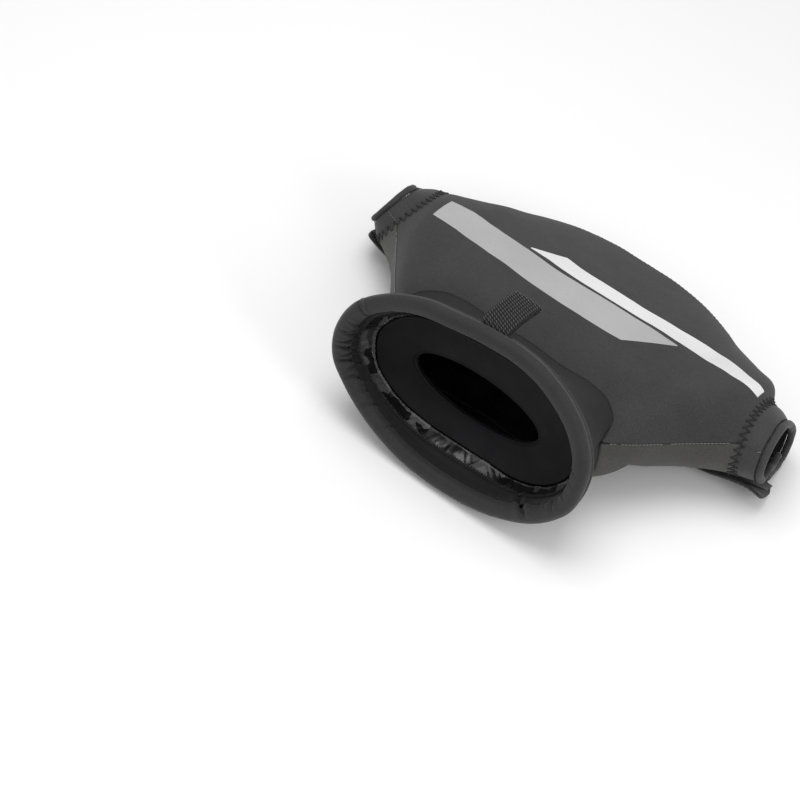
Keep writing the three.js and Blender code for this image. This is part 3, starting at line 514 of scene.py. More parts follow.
def closed(name, outer, inner, mats, wrap=False, sense=1):
    """One closed body from two grids of points; the inner grid takes the second material if there is one."""
    nu, nv = outer.shape[:2]
    P = np.concatenate([outer.reshape(-1, 3), inner.reshape(-1, 3)])
    uv = np.concatenate([run_of(outer).reshape(-1, 2), run_of(inner).reshape(-1, 2)])
    a = grid_faces(nu, nv, 0, wrap_u=wrap, flip=sense < 0)
    b = grid_faces(nu, nv, nu * nv, wrap_u=wrap, flip=sense > 0)
    rims = []
    i = np.arange(nu if wrap else nu - 1)
    i1 = (i + 1) % nu
    m = nu * nv
    rims.append(np.stack([m + i * nv, m + i1 * nv, i1 * nv, i * nv], -1))
    e = nv - 1
    rims.append(np.stack([i * nv + e, i1 * nv + e, m + i1 * nv + e, m + i * nv + e], -1))
    if not wrap:
        j = np.arange(nv - 1)
        rims.append(np.stack([j, j + 1, m + j + 1, m + j], -1))
        f = (nu - 1) * nv
        rims.append(np.stack([m + f + j, m + f + j + 1, f + j + 1, f + j], -1))
    r = np.concatenate(rims)
    if sense < 0:
        r = r[:, ::-1]
    faces = np.concatenate([a, b, r])
    two = isinstance(mats, (list, tuple)) and len(mats) > 1
    slots = np.concatenate([np.zeros(len(a)), np.ones(len(b)), np.zeros(len(r))]) if two else None
    return add_mesh(name, P, faces, mats, uv, slots)


def edge_round(d, r):
    d = np.clip(d, 0, r)
    return r - np.sqrt(np.maximum(r * r - (r - d) ** 2, 0))


def ring_normal(name, n):
    out = FR[name]["out"]
    return unit(n - out * dot(n, np.broadcast_to(out, n.shape)))


def sheet(surface, us, v0=0.0, v1=1.0, e0=None, e1=None, ends=(None, None), gap0=GAP, gap1=GAP, nv=60,
          lift=0.0, wall=WALL, du=0.05, corner_cut=False, r=0.8, wave=1.0, inner_wave=None, soft=3.0):
    f, sense = SURF[surface]
    us = arr(us)
    a = v0(us) if callable(v0) else np.full(us.shape, float(v0))
    b = v1(us) if callable(v1) else np.full(us.shape, float(v1))

    def pace(v, step):
        along = unit(f(us + du, v) - f(us - du, v))
        return np.maximum(4, np.linalg.norm(np.cross(along, f(us, v + step) - f(us, v)), axis=-1) / 1e-3)

    p0, p1 = pace(a, 1e-3), pace(b, -1e-3)
    wide = 0.4 * np.maximum(0, 1 - np.abs(np.abs(us) - CORNER) / 6) if corner_cut else 0
    lo = a + (gap0 / 2 + wide) / p0
    hi = b - gap1 / 2 / p1
    near = arr([0, 0.12, 0.3, 0.55, 0.85, 1.3, 2.0])
    start = lo[:, None] + near[None] / p0[:, None]
    stop = hi[:, None] - near[None, ::-1] / p1[:, None]
    k = np.linspace(0, 1, nv)[1:-1]
    mid = start[:, -1:] * (1 - k) + stop[:, :1] * k
    V = np.concatenate([start, mid, stop], 1)
    U = np.repeat(us[:, None], V.shape[1], 1)
    P = f(U, V)
    N = normal(surface, U, V, du)
    d0 = (V - lo[:, None]) * p0[:, None]
    d1 = (hi[:, None] - V) * p1[:, None]
    for edge, d in ((e0, d0), (e1, d1)):
        if edge is not None:
            w = np.exp(-(d / soft) ** 2)[..., None]
            N = N * (1 - w) + edge(us)[:, None, :] * w
    drop = edge_round(d0, r) + edge_round(d1, r)
    along = run_of(P)[..., 0]
    for k, end in enumerate(ends):
        if end is not None:
            d = along if k == 0 else along[-1:] - along
            w = np.exp(-(d / 2.5) ** 2)[..., None]
            M = end(V, N, U)
            N = N * (1 - w) + M * w
            drop = drop + edge_round(d, min(r, 0.35))
    h = ripple(P) * wave
    outer = P + N * (lift + h - drop)[..., None]
    hi2 = h if inner_wave is None else inner_wave(P)
    inner = P + N * (lift + hi2 - wall + 0.5 * drop)[..., None]
    return outer, inner, sense


def skin(surface, u, v, off):
    """A point on the finished outer face of a sheet, `off` above it."""
    u, v = np.broadcast_arrays(arr(u), arr(v))
    P = SURF[surface][0](u, v)
    return P + normal(surface, u, v) * (ripple(P) + arr(off))[..., None]


def tube(path, radius, sides=6, cap=True):
    """Vertices and quads of a round thread along a path of points; radius may vary along it."""
    path = arr(path)
    n = len(path)
    t = unit(np.gradient(path, axis=0))
    ref = np.where(np.abs(t[:, 2:]) > 0.9, X[None], np.array([[0, 0, 1.0]]))
    a = unit(np.cross(t, ref))
    b = np.cross(t, a)
    ang = np.arange(sides) * 2 * np.pi / sides
    rad = np.broadcast_to(arr(radius), (n,)).copy()
    if cap:
        rad[0] *= 0.3
        rad[-1] *= 0.3
    P = path[:, None] + rad[:, None, None] * (np.cos(ang)[None, :, None] * a[:, None] + np.sin(ang)[None, :, None] * b[:, None])
    F = grid_faces(n, sides, 0, wrap_v=True)
    return P.reshape(-1, 3), F


def bundle(name, tubes, material):
    P, F, UV, base = [], [], [], 0
    for p, f in tubes:
        P.append(p)
        F.append(f + base)
        base += len(p)
    P = np.concatenate(P)
    F = np.concatenate(F)
    return add_mesh(name, P, F, material, np.stack([P[:, 0] + P[:, 2], P[:, 1]], -1))


# ---------------------------------------------------------------- materials
class Nodes:
    def __init__(self, name):
        self.m = bpy.data.materials.new(name)
        self.m.use_nodes = True
        self.t = self.m.node_tree
        self.bsdf = self.t.nodes["Principled BSDF"]
        self.tc = self.t.nodes.new("ShaderNodeTexCoord")

    def new(self, kind, inputs=None, **props):
        n = self.t.nodes.new("ShaderNode" + kind)
        for k, v in props.items():
            setattr(n, k, v)
        for k, v in (inputs or {}).items():
            if isinstance(v, bpy.types.NodeSocket):
                self.t.links.new(v, n.inputs[k])
            else:
                n.inputs[k].default_value = v
        return n

    def link(self, a, b):
        self.t.links.new(a, b)

    def noise(self, scale, detail=3.0, rough=0.55, coord="Object", stretch=None):
        vec = self.tc.outputs[coord]
        if stretch:
            vec = self.new("Mapping", {"Vector": vec, "Scale": stretch}).outputs[0]
        return self.new("TexNoise", {"Vector": vec, "Scale": scale, "Detail": detail, "Roughness": rough}).outputs[0]

    def ramp(self, fac, *stops):
        n = self.new("ValToRGB", {"Fac": fac})
        e = n.color_ramp.elements
        while len(e) < len(stops):
            e.new(0.5)
        for el, (pos, col) in zip(e, stops):
            el.position = pos
            el.color = (*col, 1) if len(col) == 3 else col
        return n.outputs[0]

    def math(self, op, a, b=0.0):
        return self.new("Math", {0: a, 1: b}, operation=op).outputs[0]

    def bump(self, height, strength, distance, under=None):
        n = self.new("Bump", {"Height": height, "Strength": strength, "Distance": distance})
        if under is not None:
            self.link(under, n.inputs["Normal"])
        return n.outputs[0]

    def finish(self, **sockets):
        for k, v in sockets.items():
            s = self.bsdf.inputs[k.replace("_", " ")]
            if isinstance(v, bpy.types.NodeSocket):
                self.link(v, s)
            else:
                s.default_value = v
        return self.m


def lin(v):
    v = v / 255
    return v / 12.92 if v <= 0.04045 else ((v + 0.055) / 1.055) ** 2.4


def grey(v, warm=0.0):
    return (lin(v + warm), lin(v + warm * 0.3), lin(v - warm))


def wave_uv(n, direction, period, power=1.0):
    """Rows of yarn across one direction of the cloth, period in millimetres."""
    return n.new("TexWave", {"Vector": n.tc.outputs["UV"], "Scale": 0.3142 / period, "Distortion": 0.6, "Detail": 1.0, "Detail Scale": 0.4},
                 wave_type="BANDS", bands_direction=direction).outputs[1]


def knit(name, value, warm=0.0, spread=0.07, rough=0.86, sheen=0.1, pill=True):
    """Jersey-faced foam: rows of tiny loops, a soft nap, slightly uneven dye and dusty high spots, with painted shade
    darkening the colour in the valleys between the loops.
    """
    n = Nodes(name)
    dye = n.noise(22, 3, 0.6)
    nap = n.noise(900, 2, 0.6)
    loops = n.math("MULTIPLY", wave_uv(n, "X", 0.62), wave_uv(n, "Y", 0.85))
    base = n.ramp(dye, (0.3, grey(value * (1 - spread), warm)), (0.7, grey(value * (1 + spread), warm)))
    speck = n.ramp(nap, (0.35, (0.84, 0.84, 0.84)), (0.65, (1.13, 1.13, 1.13)))
    mix = n.new("Mix", {"Factor": 1.0}, data_type="RGBA", blend_type="MULTIPLY")
    n.link(base, mix.inputs[6])
    n.link(speck, mix.inputs[7])
    mix2 = n.new("Mix", {}, data_type="RGBA", blend_type="MULTIPLY")
    mix2.inputs[0].default_value = 0.35
    n.link(mix.outputs[2], mix2.inputs[6])
    # painted shade: the colour is darkened where the loop relief is low, between the loops of yarn
    n.link(n.ramp(loops, (0.05, (0.72, 0.72, 0.72)), (0.55, (1.12, 1.12, 1.12))), mix2.inputs[7])
    fine = n.bump(loops, 0.5, 0.00012)
    full = n.bump(n.noise(1500, 2, 0.7), 0.35, 0.00008, fine)
    full = n.bump(n.noise(120, 3, 0.5), 0.12, 0.0006, full)
    r = n.ramp(n.noise(60, 3, 0.6), (0.3, (rough - 0.06,) * 3), (0.7, (min(1, rough + 0.06),) * 3))
    return n.finish(Base_Color=mix2.outputs[2], Roughness=r, Normal=full, Sheen_Weight=sheen, Sheen_Roughness=0.55, Specular_IOR_Level=0.2)


def lining_with_painted_reflections():
    n = Nodes("coated_lining_painted_reflections")
    warp = n.new("Mix", {"Factor": 0.25}, data_type="RGBA", blend_type="ADD")
    n.link(n.tc.outputs["Object"], warp.inputs[6])
    n.link(n.new("TexNoise", {"Vector": n.tc.outputs["Object"], "Scale": 60, "Detail": 2}).outputs[1], warp.inputs[7])
    warp.inputs[0].default_value = 0.012
    cell = n.new("TexVoronoi", {"Vector": warp.outputs[2], "Scale": 98.0, "Randomness": 1.0})
    tone = n.new("SeparateColor", {"Color": cell.outputs["Color"]}).outputs[0]
    crease = n.noise(140, 4, 0.6)
    ridge = n.math("ABSOLUTE", n.math("SUBTRACT", crease, 0.5))
    weave = n.math("MULTIPLY", wave_uv(n, "X", 0.3), wave_uv(n, "Y", 0.3))
    b = n.bump(tone, 0.16, 0.001)
    b = n.bump(ridge, 0.16, 0.0012, b)
    b = n.bump(weave, 0.12, 0.00004, b)
    # painted reflections: the pale cells in the base colour stand for studio light mirrored in the coated nylon's
    # facets, and the dark cells are the lining's own black
    base = n.ramp(tone, (0.0, grey(15)), (0.5, grey(20)), (0.53, grey(60)), (0.8, grey(82)), (0.83, grey(24)), (1.0, grey(17)))
    r = n.ramp(tone, (0.3, (0.24,) * 3), (0.7, (0.42,) * 3))
    return n.finish(Base_Color=base, Roughness=r, Normal=b, Specular_IOR_Level=0.55, Sheen_Weight=0.04, Sheen_Roughness=0.3)


def inside_material():
    n = Nodes("inner_face")
    crease = n.noise(60, 4, 0.6)
    ridge = n.math("ABSOLUTE", n.math("SUBTRACT", crease, 0.5))
    b = n.bump(ridge, 0.5, 0.004)
    b = n.bump(n.math("MULTIPLY", wave_uv(n, "X", 0.5), wave_uv(n, "Y", 0.5)), 0.3, 0.0001, b)
    base = n.ramp(n.noise(30, 3, 0.6), (0.3, grey(14)), (0.7, grey(22, -1)))
    r = n.ramp(n.noise(50, 3, 0.6), (0.3, (0.38,) * 3), (0.7, (0.6,) * 3))
    return n.finish(Base_Color=base, Roughness=r, Normal=b, Specular_IOR_Level=0.4)


def gasket_material():
    n = Nodes("smooth_skin_foam")
    base = n.ramp(n.noise(35, 3, 0.6), (0.3, (lin(9), lin(8), lin(10))), (0.7, (lin(13), lin(11), lin(15))))
    b = n.bump(n.noise(1300, 2, 0.6), 0.25, 0.00006)
    b = n.bump(n.noise(45, 2, 0.5), 0.1, 0.0015, b)
    r = n.ramp(n.noise(90, 3, 0.6), (0.3, (0.5,) * 3), (0.7, (0.64,) * 3))
    return n.finish(Base_Color=base, Roughness=r, Normal=b, Sheen_Weight=0.02, Sheen_Roughness=0.5, Specular_IOR_Level=0.18)


def thread_material(name, value, rough=0.6):
    n = Nodes(name)
    base = n.ramp(n.noise(1800, 2, 0.6), (0.35, grey(value * 0.8)), (0.65, grey(value * 1.2)))
    twist = n.new("TexWave", {"Vector": n.new("Mapping", {"Vector": n.tc.outputs["Object"], "Rotation": (0.5, 0.7, 0.3)}).outputs[0], "Scale": 700, "Distortion": 1.5}).outputs[1]
    b = n.bump(twist, 0.5, 0.00008)
    r = n.ramp(n.noise(900, 2, 0.6), (0.3, (rough - 0.08,) * 3), (0.7, (rough + 0.08,) * 3))
    return n.finish(Base_Color=base, Roughness=r, Normal=b, Sheen_Weight=0.1, Specular_IOR_Level=0.4)


def film_material(name, value, rough, flake=0.0):
    """Printed film: an even coat with pinholes and the cloth's grain pressing through."""
    n = Nodes(name)
    grain = n.math("MULTIPLY", wave_uv(n, "X", 0.62), wave_uv(n, "Y", 0.85))
    tone = n.noise(16, 3, 0.5)
    base = n.ramp(tone, (0.3, grey(value * 0.97)), (0.7, grey(min(252, value * 1.03))))
    speck = n.ramp(n.noise(700, 3, 0.7), (0.30, (0.86, 0.86, 0.86)), (0.42, (1, 1, 1)))
    mix = n.new("Mix", {"Factor": 1.0}, data_type="RGBA", blend_type="MULTIPLY")
    n.link(base, mix.inputs[6])
    n.link(speck, mix.inputs[7])
    b = n.bump(grain, 0.25, 0.00006)
    b = n.bump(n.noise(900, 2, 0.6), 0.2, 0.00006, b)
    r = n.ramp(n.noise(300, 3, 0.6), (0.3, (rough - 0.07,) * 3), (0.7, (rough + 0.07,) * 3))
    return n.finish(Base_Color=mix.outputs[2], Roughness=r, Normal=b, Metallic=flake, Specular_IOR_Level=0.4)


def web_material():
    n = Nodes("webbing_yarn")
    yarn = n.ramp(n.noise(1400, 2, 0.6), (0.35, grey(46)), (0.65, grey(70)))
    hole = n.new("Attribute", {}, attribute_name="hole").outputs[2]
    mix = n.new("Mix", {}, data_type="RGBA")
    # painted shade: the yarn colour goes near-black where the weave has a hole, to stand for the shadow in the gaps
    n.link(n.ramp(hole, (0.02, (0, 0, 0)), (0.22, (1, 1, 1))), mix.inputs[0])
    n.link(yarn, mix.inputs[6])
    mix.inputs[7].default_value = (*grey(9), 1)
    base = mix.outputs[2]
    b = n.bump(n.noise(2600, 2, 0.7), 0.4, 0.00008)
    r = n.ramp(n.noise(500, 2, 0.6), (0.3, (0.62,) * 3), (0.7, (0.78,) * 3))
    return n.finish(Base_Color=base, Roughness=r, Normal=b, Sheen_Weight=0.15, Specular_IOR_Level=0.35)


def hook_material():
    n = Nodes("hook_and_loop")
    base = n.ramp(n.noise(1100, 3, 0.7), (0.35, grey(12)), (0.65, grey(34)))
    b = n.bump(n.noise(900, 3, 0.8), 0.9, 0.0006)
    r = n.ramp(n.noise(400, 2, 0.6), (0.3, (0.7,) * 3), (0.7, (0.9,) * 3))
    return n.finish(Base_Color=base, Roughness=r, Normal=b, Sheen_Weight=0.25, Specular_IOR_Level=0.2)
# ---------------------------------------------------------------- finishes
PANEL = knit("knit_panel", 54)
BELLY = knit("knit_belly", 65, warm=1.0)
COLLAR = knit("knit_collar", 33, sheen=0.04)
BAND = knit("knit_band", 54, rough=0.66)
ROLL = knit("knit_roll", 41, rough=0.58)
# painted shade: the turned-in cloth and the inside of the sleeve hems are the same knit, made near-black to stand for
# the shadow inside the rim and the sleeves
TURNED_PAINTED_SHADE = knit("knit_turned_in_painted_shade", 18, rough=0.62)
LINING_PAINTED_REFLECTIONS = lining_with_painted_reflections()
INNER = inside_material()
SKIN_FOAM = gasket_material()
BLACK_THREAD = thread_material("black_thread", 15)
DARK_THREAD = thread_material("dark_thread", 30)
PALE_THREAD = thread_material("pale_thread", 118)
SPECK_THREAD = thread_material("speck_thread", 96)
SEWING_THREAD = thread_material("sewing_thread", 11)
WEB = web_material()
HOOK = hook_material()
SILVER = film_material("silver_film", 170, 0.5)
WHITE = film_material("white_film", 222, 0.55)
rng = np.random.RandomState(7)


def piece(o, slot, *nodes):
    if nodes:
        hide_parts(*nodes)
    return o


# ---------------------------------------------------------------- body sheets
def row_list(fine):
    half = np.concatenate([np.linspace(0, 84, fine), np.linspace(84, 100, fine // 3)[1:], np.linspace(100, 134, fine // 3)[1:],
                           [135, 135.7, 136.2, 136.5, 136.7, RING_ROW - GAP / 2]])
    return np.concatenate([-half[:0:-1], half])


def on_ring(name):
    return lambda v, n, u: ring_normal(name, n)


def no_x(v, n, u):
    return unit(n * arr([0, 1, 1]))


seam_closure = lambda s: normal("under", s, split_at(s), 5)
inner_wave = lambda P: 0.9 * noise(P, 18, 11) + 0.5 * noise(P, 8, 12)
ROWS = row_list(58)
ENDS = (on_ring("a"), on_ring("b"))
BODY = dict(us=ROWS, ends=ENDS, inner_wave=inner_wave)


def put(name, parts, mats, slot, *nodes):
    outer, inner, sense = parts
    return piece(closed(name, outer, inner, mats, sense=sense), slot, *nodes)


put("back_panel", sheet("top", e0=top_start, e1=seam_knuckle, corner_cut=True, nv=70, **BODY), [PANEL, INNER], "panel", "top_panel")
put("palm_panel_knuckle", sheet("under", v0=split_at, gap0=1.0, e0=seam_closure, e1=seam_gusset, nv=30, **BODY), [BELLY, INNER], "belly", "under_panel_knuckle")
put("palm_panel_wrist", sheet("under", v1=split_at, gap1=1.0, e0=under_start, e1=seam_closure, corner_cut=True, nv=32, **BODY), [BELLY, INNER], "belly", "under_panel_wrist")
for tag, us, ends in (("b", np.where(ROWS == 0, GAP / 2, ROWS)[ROWS >= 0], (no_x, ENDS[1])), ("a", np.where(ROWS == 0, -GAP / 2, ROWS)[ROWS <= 0], (ENDS[0], no_x))):
    put(f"gusset_sheet_{tag}", sheet("gusset", us, e0=seam_knuckle, e1=seam_gusset, ends=ends, nv=22, inner_wave=inner_wave), [PANEL, INNER], "panel", f"knuckle_gusset_{tag}")

# ---------------------------------------------------------------- collar and band
_c = CORNER - 0.12
half = np.concatenate([np.linspace(0, 84, 50), np.linspace(84, _c - 1.2, 18)[1:], [_c - 0.8, _c - 0.45, _c - 0.2, _c]])
COLLAR_ROWS = np.concatenate([-half[:0:-1], half])


def collar_side(v, n, u):
    vv = np.clip(v, 0.01, 0.99)
    m = mitre(normal("collar_top", u, vv), normal("collar_under", u, vv))
    return corner_blend(u, m, np.maximum(0, 1 - v / 0.2))


def band_start(surface):
    f = SURF[surface][0]

    def at(us):
        us = arr(us)
        v = np.ones(us.shape)
        run = np.zeros(us.shape)
        for _ in range(80):
            step = np.linalg.norm(f(us, v) - f(us, v - 0.01), axis=-1)
            go = (run < BAND_WIDTH) & (v > 0.2)
            run = run + np.where(go, step, 0)
            v = np.where(go, v - 0.01, v)
        # even out the 0.01 steps
        k = np.ones(9) / 9
        return np.convolve(np.pad(v, 4, mode="edge"), k, mode="valid") if len(v) > 9 else v

    return at


START_TOP, START_UNDER = band_start("collar_top"), band_start("collar_under")
_st, _su = START_TOP(COLLAR_ROWS), START_UNDER(COLLAR_ROWS)
_top_v = lambda s: np.interp(s, COLLAR_ROWS, _st)
_und_v = lambda s: np.interp(s, COLLAR_ROWS, _su)
sides = (collar_side, collar_side)
put("collar_back", sheet("collar_top", COLLAR_ROWS, v1=_top_v, e0=collar_top_start, ends=sides, corner_cut=True, nv=34, inner_wave=inner_wave), [COLLAR, INNER], "collar", "cuff_collar_top")
put("collar_palm", sheet("collar_under", COLLAR_ROWS, v1=_und_v, e0=collar_under_start, ends=sides, corner_cut=True, nv=34, inner_wave=inner_wave), [COLLAR, INNER], "collar", "cuff_collar_under")
up = sheet("collar_top", COLLAR_ROWS, v0=_top_v, nv=14)
dn = sheet("collar_under", COLLAR_ROWS, v0=_und_v, nv=14)
band_outer, band_inner = np.concatenate([up[0], dn[0][::-1]]), np.concatenate([up[1], dn[1][::-1]])
piece(closed("rim_band_cloth", band_outer, band_inner, [BAND, INNER], wrap=True, sense=-1), "band", "rim_band")

# ---------------------------------------------------------------- rolled rim
NA = 740
ANG = np.linspace(0, 360, NA, endpoint=False)
LOOP = np.cumsum(np.concatenate([[0], np.linalg.norm(np.diff(rim_loop(ANG), axis=0), axis=-1)]))
PERIM = LOOP[-1] + np.linalg.norm(rim_loop(0.0) - rim_loop(ANG[-1]))


def arc_of(angle):
    return np.interp(arr(angle) % 360, ANG, LOOP)


def from_arc(mm):
    return np.interp(np.asarray(mm) % PERIM, np.append(LOOP, PERIM), np.append(ANG, 360))


# Gathers of the turned-in cloth: place round the rim, width, depth and slant in millimetres, in two bunches and a few strays.
GATHERS = [(arc_of(a), w, d, sl) for a, w, d, sl in (
    (172, 1.1, 1.0, 2.0), (176.5, 1.0, 1.9, -2.2), (180, 1.3, 1.4, 1.4), (185, 1.0, 2.1, -1.2), (190.5, 1.5, 2.3, 2.6), (195, 0.9, 1.2, -0.8),
    (201, 1.5, 2.5, 3.2), (206, 1.0, 1.2, -1.0), (211.5, 1.3, 2.0, 3.4), (219, 1.2, 1.0, 1.8), (226, 1.3, 1.4, 3.0), (239, 1.4, 0.8, 2.5),
    (306, 1.8, 0.4, -1.8), (320, 2.1, 3.4, -4.2), (331, 1.5, 0.3, -1.0), (341, 1.6, 1.5, 2.4), (352, 1.2, 0.6, 1.0), (2, 1.5, 0.5, 0.4), (9, 1.2, 0.5, -0.5))]
SEAM_ARC = arc_of(157.5)


def gathers(arc, slide):
    """Depth of the gathers at a place on the rim; slide, in millimetres across the cloth, leans them."""
    out = 0
    for c, w, d, sl in GATHERS:
        x = (arc - c - sl * slide / 6 + PERIM / 2) % PERIM - PERIM / 2
        out = out + d * (np.exp(-(x / w) ** 2) - 0.42 * np.exp(-((x - 2.1 * w) / (1.6 * w)) ** 2) - 0.42 * np.exp(-((x + 2.1 * w) / (1.6 * w)) ** 2))
    return out


CROSS = 32
rim_a = ANG[:, None] * np.ones((1, CROSS))
cross = np.ones((NA, 1)) * np.arange(CROSS)[None] * 360 / CROSS  # 0 outward, 90 into the mitt, 180 inward
cr = np.radians(cross)
inwards = smooth((-np.cos(cr) + 0.35) / 1.1)
arc = arc_of(rim_a)
Pr = rim_point(rim_a, ROLL_RADIUS + 0.2 - ROLL_RADIUS * np.cos(cr), (ROLL_RADIUS - 0.1) * np.sin(cr))
xs = (arc - SEAM_ARC + PERIM / 2) % PERIM - PERIM / 2
seam = 1.8 * np.exp(-((xs - 0.3 * (cross - 120) / 20) / 0.8) ** 2) - 0.35 * np.exp(-((np.abs(xs) - 2.1) / 1.1) ** 2)
rr = ROLL_RADIUS + 0.16 * noise(Pr, 16, 21) + 0.07 * noise(Pr, 6, 22) - 1.0 * gathers(arc, 6 * np.sin(cr)) * inwards ** 1.4 - seam
rr = rr + 0.35 * np.sin(cr) * np.sin(arc / 31.0) * 0.5
roll = rim_point(rim_a, ROLL_RADIUS + 0.2 - rr * np.cos(cr), (rr - 0.1) * np.sin(cr))
uvr = np.stack([arc, cross / 360 * 35], -1)
roll_o = piece(add_mesh("rolled_rim", roll, grid_faces(NA, CROSS, 0, True, True, flip=True), ROLL, uvr), "band", "rim_roll")

# ---------------------------------------------------------------- turned-in cloth, coated lining and gasket
_vs = [(0, .34), (40, .22), (80, .15), (120, .14), (160, .16), (180, .2), (214, .27), (240, .36), (262, .46), (285, .52), (300, .48), (318, .34), (335, .3), (350, .34), (360, .34)]
hem_v = lambda a: np.interp(arr(a) % 360, [p[0] for p in _vs], [p[1] for p in _vs])


def lining_at(angle, v, lift=0.0):
    """The visible face inside the rim: v 0 on the roll, 1 at the gasket."""
    angle, v = np.broadcast_arrays(arr(angle), arr(v))
    P = facing(angle, v, 1.5)
    A = rim_point(angle, 11.3, 1.4)
    k = smooth(v / 0.16)[..., None]
    P = A * (1 - k) + P * k
    n = unit(np.cross(facing(angle + 0.5, v, 1.5) - facing(angle - 0.5, v, 1.5), facing(angle, v + 0.01, 1.5) - facing(angle, v - 0.01, 1.5)))
    n = n * np.sign(dot(n, np.broadcast_to(-RIM_IN, n.shape)) + 1e-9)
    return P + n * np.asarray(lift)[..., None], n


def fold(arc, width, seed):
    """Irregular triangular folds along the rim, 0 in the valleys and 1 on the ridges."""
    r = np.random.RandomState(seed)
    x, h, pos = [], [], 0.0
    while pos < PERIM:
        x += [pos, pos + width * (0.35 + 0.3 * r.rand())]
        h += [0.15 * r.rand(), 0.55 + 0.45 * r.rand()]
        pos += width * (0.7 + 0.7 * r.rand())
    return np.interp(arc % PERIM, x + [PERIM], h + [h[0]])


NL = 1100
la = np.linspace(0, 360, NL, endpoint=False)
lv = np.linspace(0, 1, 15)
A2 = la[:, None] * np.ones((1, 15))
V2 = hem_v(la)[:, None] * lv[None]
arc2 = arc_of(A2)
amp = smooth(lv / 0.25)[None] * 1.0
body_h = -0.75 * gathers(arc2, 6 * (1 + lv[None] * 0.9)) * (1 - 0.55 * lv[None]) * 0.85 + 0.3 * noise(lining_at(A2, V2)[0], 9, 31) * amp
lump = 0.9 * np.exp(-((lv - 0.95) / 0.08) ** 2)[None]
front, _ = lining_at(A2, V2, body_h + lump + 0.15)
back, _ = lining_at(A2, V2, body_h - 0.9)
# the front face of the turned-in cloth takes the near-black knit, which is painted shade for the shadow inside the rim
piece(closed("turned_in_cloth", front, back, [TURNED_PAINTED_SHADE, INNER], wrap=True, sense=-1), "lining", "rim_facing")

NV = 26
lv = np.linspace(0, 1, NV)
A3 = la[:, None] * np.ones((1, NV))
hv = hem_v(la)[:, None]
V3 = (hv - 0.05) + (1.035 - hv + 0.05) * lv[None]
arc3 = arc_of(A3)
base, _ = lining_at(A3, V3)
shape = np.sin(np.pi * np.clip(lv, 0, 1))[None] ** 0.6
slant = 7 * (lv[None] - 0.5) * np.sin(arc3 / 23.0)
big = fold(arc3 + slant, 19.0, 41) * (0.5 + 0.5 * fold(arc3 * 1.0 - 5 * lv[None], 37, 43))
small = fold(arc3 - 1.4 * slant, 6.0, 42)
where = np.interp(A3, [0, 40, 60, 140, 160, 235, 260, 300, 320, 360], [1, .5, .3, .3, .8, 1, .9, .9, 1.15, 1])
h3 = shape * where * (2.4 * big + 0.45 * small - 0.8) + 0.25 * noise(base, 6, 44) * shape - 0.35
pipe = 1.0 * np.exp(-((lv - 0.93) / 0.05) ** 2)[None] * np.interp(A3, [0, 130, 150, 230, 250, 300, 330, 360], [.6, .4, 1.3, 1.3, .4, .4, .9, .6])
front, _ = lining_at(A3, V3, h3 + pipe * (0.7 + 0.5 * fold(arc3, 3.1, 45)))
back, _ = lining_at(A3, V3, h3 - 0.35)
# the gathered lining's material has painted reflections in its pale cells
piece(closed("gathered_lining", front, back, LINING_PAINTED_REFLECTIONS, wrap=True, sense=-1), "lining", "rim_facing")


def gasket_front(angle, v, lift=0.0):
    P = gasket_at(angle, v, 0.0)
    return P + (np.asarray(lift)[..., None]) * -RIM_IN


vg = np.concatenate([[0, .01, .03, .06], np.linspace(.1, .86, 16), [.9, .93, .95, .965, .98, .99, 1.0]])
NG = 360
ga = np.linspace(0, 360, NG, endpoint=False)
A4, V4 = np.meshgrid(ga, vg, indexing="ij")
g0 = gasket_at(A4, V4, 0)
sag = -1.6 * np.sin(np.pi * V4) + 0.45 * noise(g0, 26, 51) * np.sin(np.pi * np.clip(V4, 0, 1)) + 0.12 * noise(g0, 9, 52)
ridge = 0.55 * np.exp(-((V4 - 0.965) / 0.025) ** 2)
drop = edge_round((1 - V4) * 26, 0.9) + edge_round(V4 * 26, 0.9)
front = gasket_front(A4, V4, sag + ridge - drop)
back = gasket_at(A4, V4, 2.0) + (sag - 0.3)[..., None] * -RIM_IN * 1.0
piece(closed("neck_gasket", front, back, [SKIN_FOAM, SKIN_FOAM], wrap=True, sense=-1), "gasket", "wrist_gasket")

# ---------------------------------------------------------------- sleeve hems and rolled lips
def hem_grow(name, angle, d, run, off):
    return 0.5 * (1 + 2.4 * lobe(angle, 132, 75)) * np.sin(np.pi * np.clip(d / run, 0, 1)) - off - narrow(name, angle) * (d / run) - tuck(angle) * (1 + 0.85 * smooth((-92 - arr(angle)) / 26) * (d / run))


